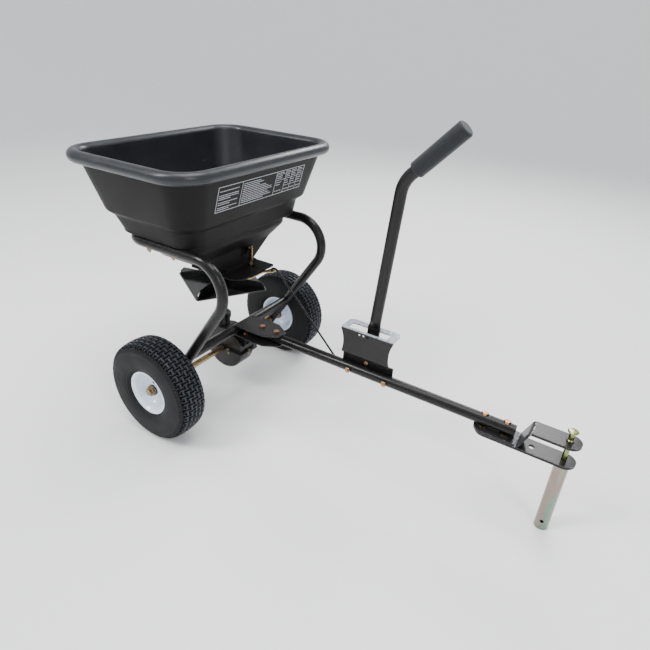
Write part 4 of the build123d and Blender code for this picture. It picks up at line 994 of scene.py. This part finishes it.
# ---------------------------------------------------------------- solids kept from the frame
class SPREADER_OT_finish_solids(bpy.types.Operator):
    """Build every finish and put it on the frame's own solids."""

    bl_idname = "spreader.finish_solids"
    bl_label = "Finishes"

    def execute(self, context):
        build_finishes(context.scene.spreader_finish)
        for name, solid in frame["nodes"].items():
            finish = node_finishes.get(name, slot_finishes[node_slots[name]])
            if not solid.material_slots:
                solid.data.materials.append(finishes[finish])
            for holder in solid.material_slots:
                holder.material = finishes[finish]
        return {"FINISHED"}


# ---------------------------------------------------------------- stage
class SPREADER_OT_stage(bpy.types.Operator):
    """Set the pale floor, the soft lights and the camera."""

    bl_idname = "spreader.stage"
    bl_label = "Studio"

    def execute(self, context):
        sizes = context.scene.spreader_stage
        self.lay_floor(tuple(sizes.floor))
        self.hang_lights(sizes.key)
        self.set_world(context.scene, sizes.sky)
        self.place_camera(context.scene)
        return {"FINISHED"}

    @staticmethod
    def lay_floor(tone):
        """A wide pale floor that curves up into a round wall."""
        board, shader = new_finish("studio_floor", Specular_IOR_Level=0.2)
        cloud = board.noise(3.0, 3.0)
        board.put(shader["Base Color"], board.mix(cloud, tone, tuple(c * 0.985 for c in tone)))
        shader["Roughness"].default_value = 0.85
        flat, bend, wall, count = 4.6, 2.2, 5.0, 96
        profile = [(0.01, 0.0), (flat, 0.0)]
        for step in range(1, 13):
            turn = pi / 2 * step / 12
            profile.append((flat + bend * sin(turn), bend * (1 - cos(turn))))
        profile.append((flat + bend, wall))
        points = [
            (r * cos(2 * pi * i / count), r * sin(2 * pi * i / count), z)
            for r, z in profile
            for i in range(count)
        ]
        faces = loops_skin(len(profile), count, flip=True)
        faces.append(tuple(range(count)))
        floor = new_piece("studio_floor", points, faces, [finishes["studio_floor"]])

    @staticmethod
    def hang_lights(power):
        """A soft key, a fill, a light behind and one above, all wide."""
        middle = Vector((0, 0, 0.35))
        lamps = (
            ("key", (-1.5, -1.9, 2.7), (0.7, 1.6), power),
            ("fill", (2.3, -1.3, 1.9), (0.6, 1.4), power * 0.30),
            ("behind", (-0.2, 2.5, 2.2), (1.6, 0.7), power * 0.65),
            ("over", (0.2, 0.0, 3.2), (2.4, 2.0), power * 1.2),
        )
        for name, place, size, strength in lamps:
            data = bpy.data.lights.new(f"{name}_light", "AREA")
            data.shape = "RECTANGLE"
            data.energy, (data.size, data.size_y) = strength, size
            lamp = bpy.data.objects.new(f"{name}_light", data)
            bpy.context.scene.collection.objects.link(lamp)
            lamp.location = place
            lamp.rotation_euler = (middle - Vector(place)).to_track_quat("-Z", "Y").to_euler()

    @staticmethod
    def set_world(scene, strength):
        """An even, slightly cool sky."""
        world = bpy.data.worlds.new("studio_sky")
        scene.world = world
        world.use_nodes = True
        background = world.node_tree.nodes["Background"]
        background.inputs["Color"].default_value = (0.93, 0.96, 1.0, 1)
        background.inputs["Strength"].default_value = strength

    @staticmethod
    def place_camera(scene):
        """The camera, looking down on the hopper's near front corner."""
        data = bpy.data.cameras.new("studio_camera")
        data.lens, data.sensor_width = 29.234, 36.0
        data.shift_x, data.shift_y = 0.0067, -0.0159
        camera = bpy.data.objects.new("studio_camera", data)
        scene.collection.objects.link(camera)
        side = Vector((0.83874, 0.54203, 0.05208))
        up = Vector((-0.29334, 0.36918, 0.88185))
        back = Vector((0.45876, -0.75492, 0.46865))
        turn = Matrix((side, up, back)).transposed().to_4x4()
        place = axle_place + Vector((0.8777, -0.9558, 0.7847))
        camera.matrix_world = Matrix.Translation(place) @ turn
        scene.camera = camera


# ---------------------------------------------------------------- panel and registration
class SPREADER_PT_panel(bpy.types.Panel):
    """The spreader's builders, in order."""

    bl_idname = "SPREADER_PT_panel"
    bl_label = "Spreader"
    bl_space_type = "VIEW_3D"
    bl_region_type = "UI"
    bl_category = "Spreader"

    def draw(self, context):
        for operator in operators:
            self.layout.operator(operator.bl_idname)
        for key in settings:
            group = getattr(context.scene, key)
            box = self.layout.box()
            for prop in group.bl_rna.properties:
                if prop.identifier not in ("rna_type", "name"):
                    box.prop(group, prop.identifier)


settings = {
    "spreader_hopper": HopperSettings,
    "spreader_label": LabelSettings,
    "spreader_tyre": TyreSettings,
    "spreader_grip": GripSettings,
    "spreader_finish": FinishSettings,
    "spreader_stage": StageSettings,
}
operators = (
    SPREADER_OT_finish_solids,
    SPREADER_OT_hopper,
    SPREADER_OT_label,
    SPREADER_OT_tyres,
    SPREADER_OT_grip,
    SPREADER_OT_stage,
)


def register():
    for group in settings.values():
        bpy.utils.register_class(group)
    for key, group in settings.items():
        setattr(bpy.types.Scene, key, bpy.props.PointerProperty(type=group))
    for operator in operators:
        bpy.utils.register_class(operator)
    bpy.utils.register_class(SPREADER_PT_panel)


def unregister():
    bpy.utils.unregister_class(SPREADER_PT_panel)
    for operator in reversed(operators):
        bpy.utils.unregister_class(operator)
    for key, group in reversed(settings.items()):
        delattr(bpy.types.Scene, key)
        bpy.utils.unregister_class(group)


def main():
    """Register, and build every piece."""
    register()
    for operator in operators:
        area, name = operator.bl_idname.split(".")
        getattr(getattr(bpy.ops, area), name)()


if __name__ == "__main__":
    main()
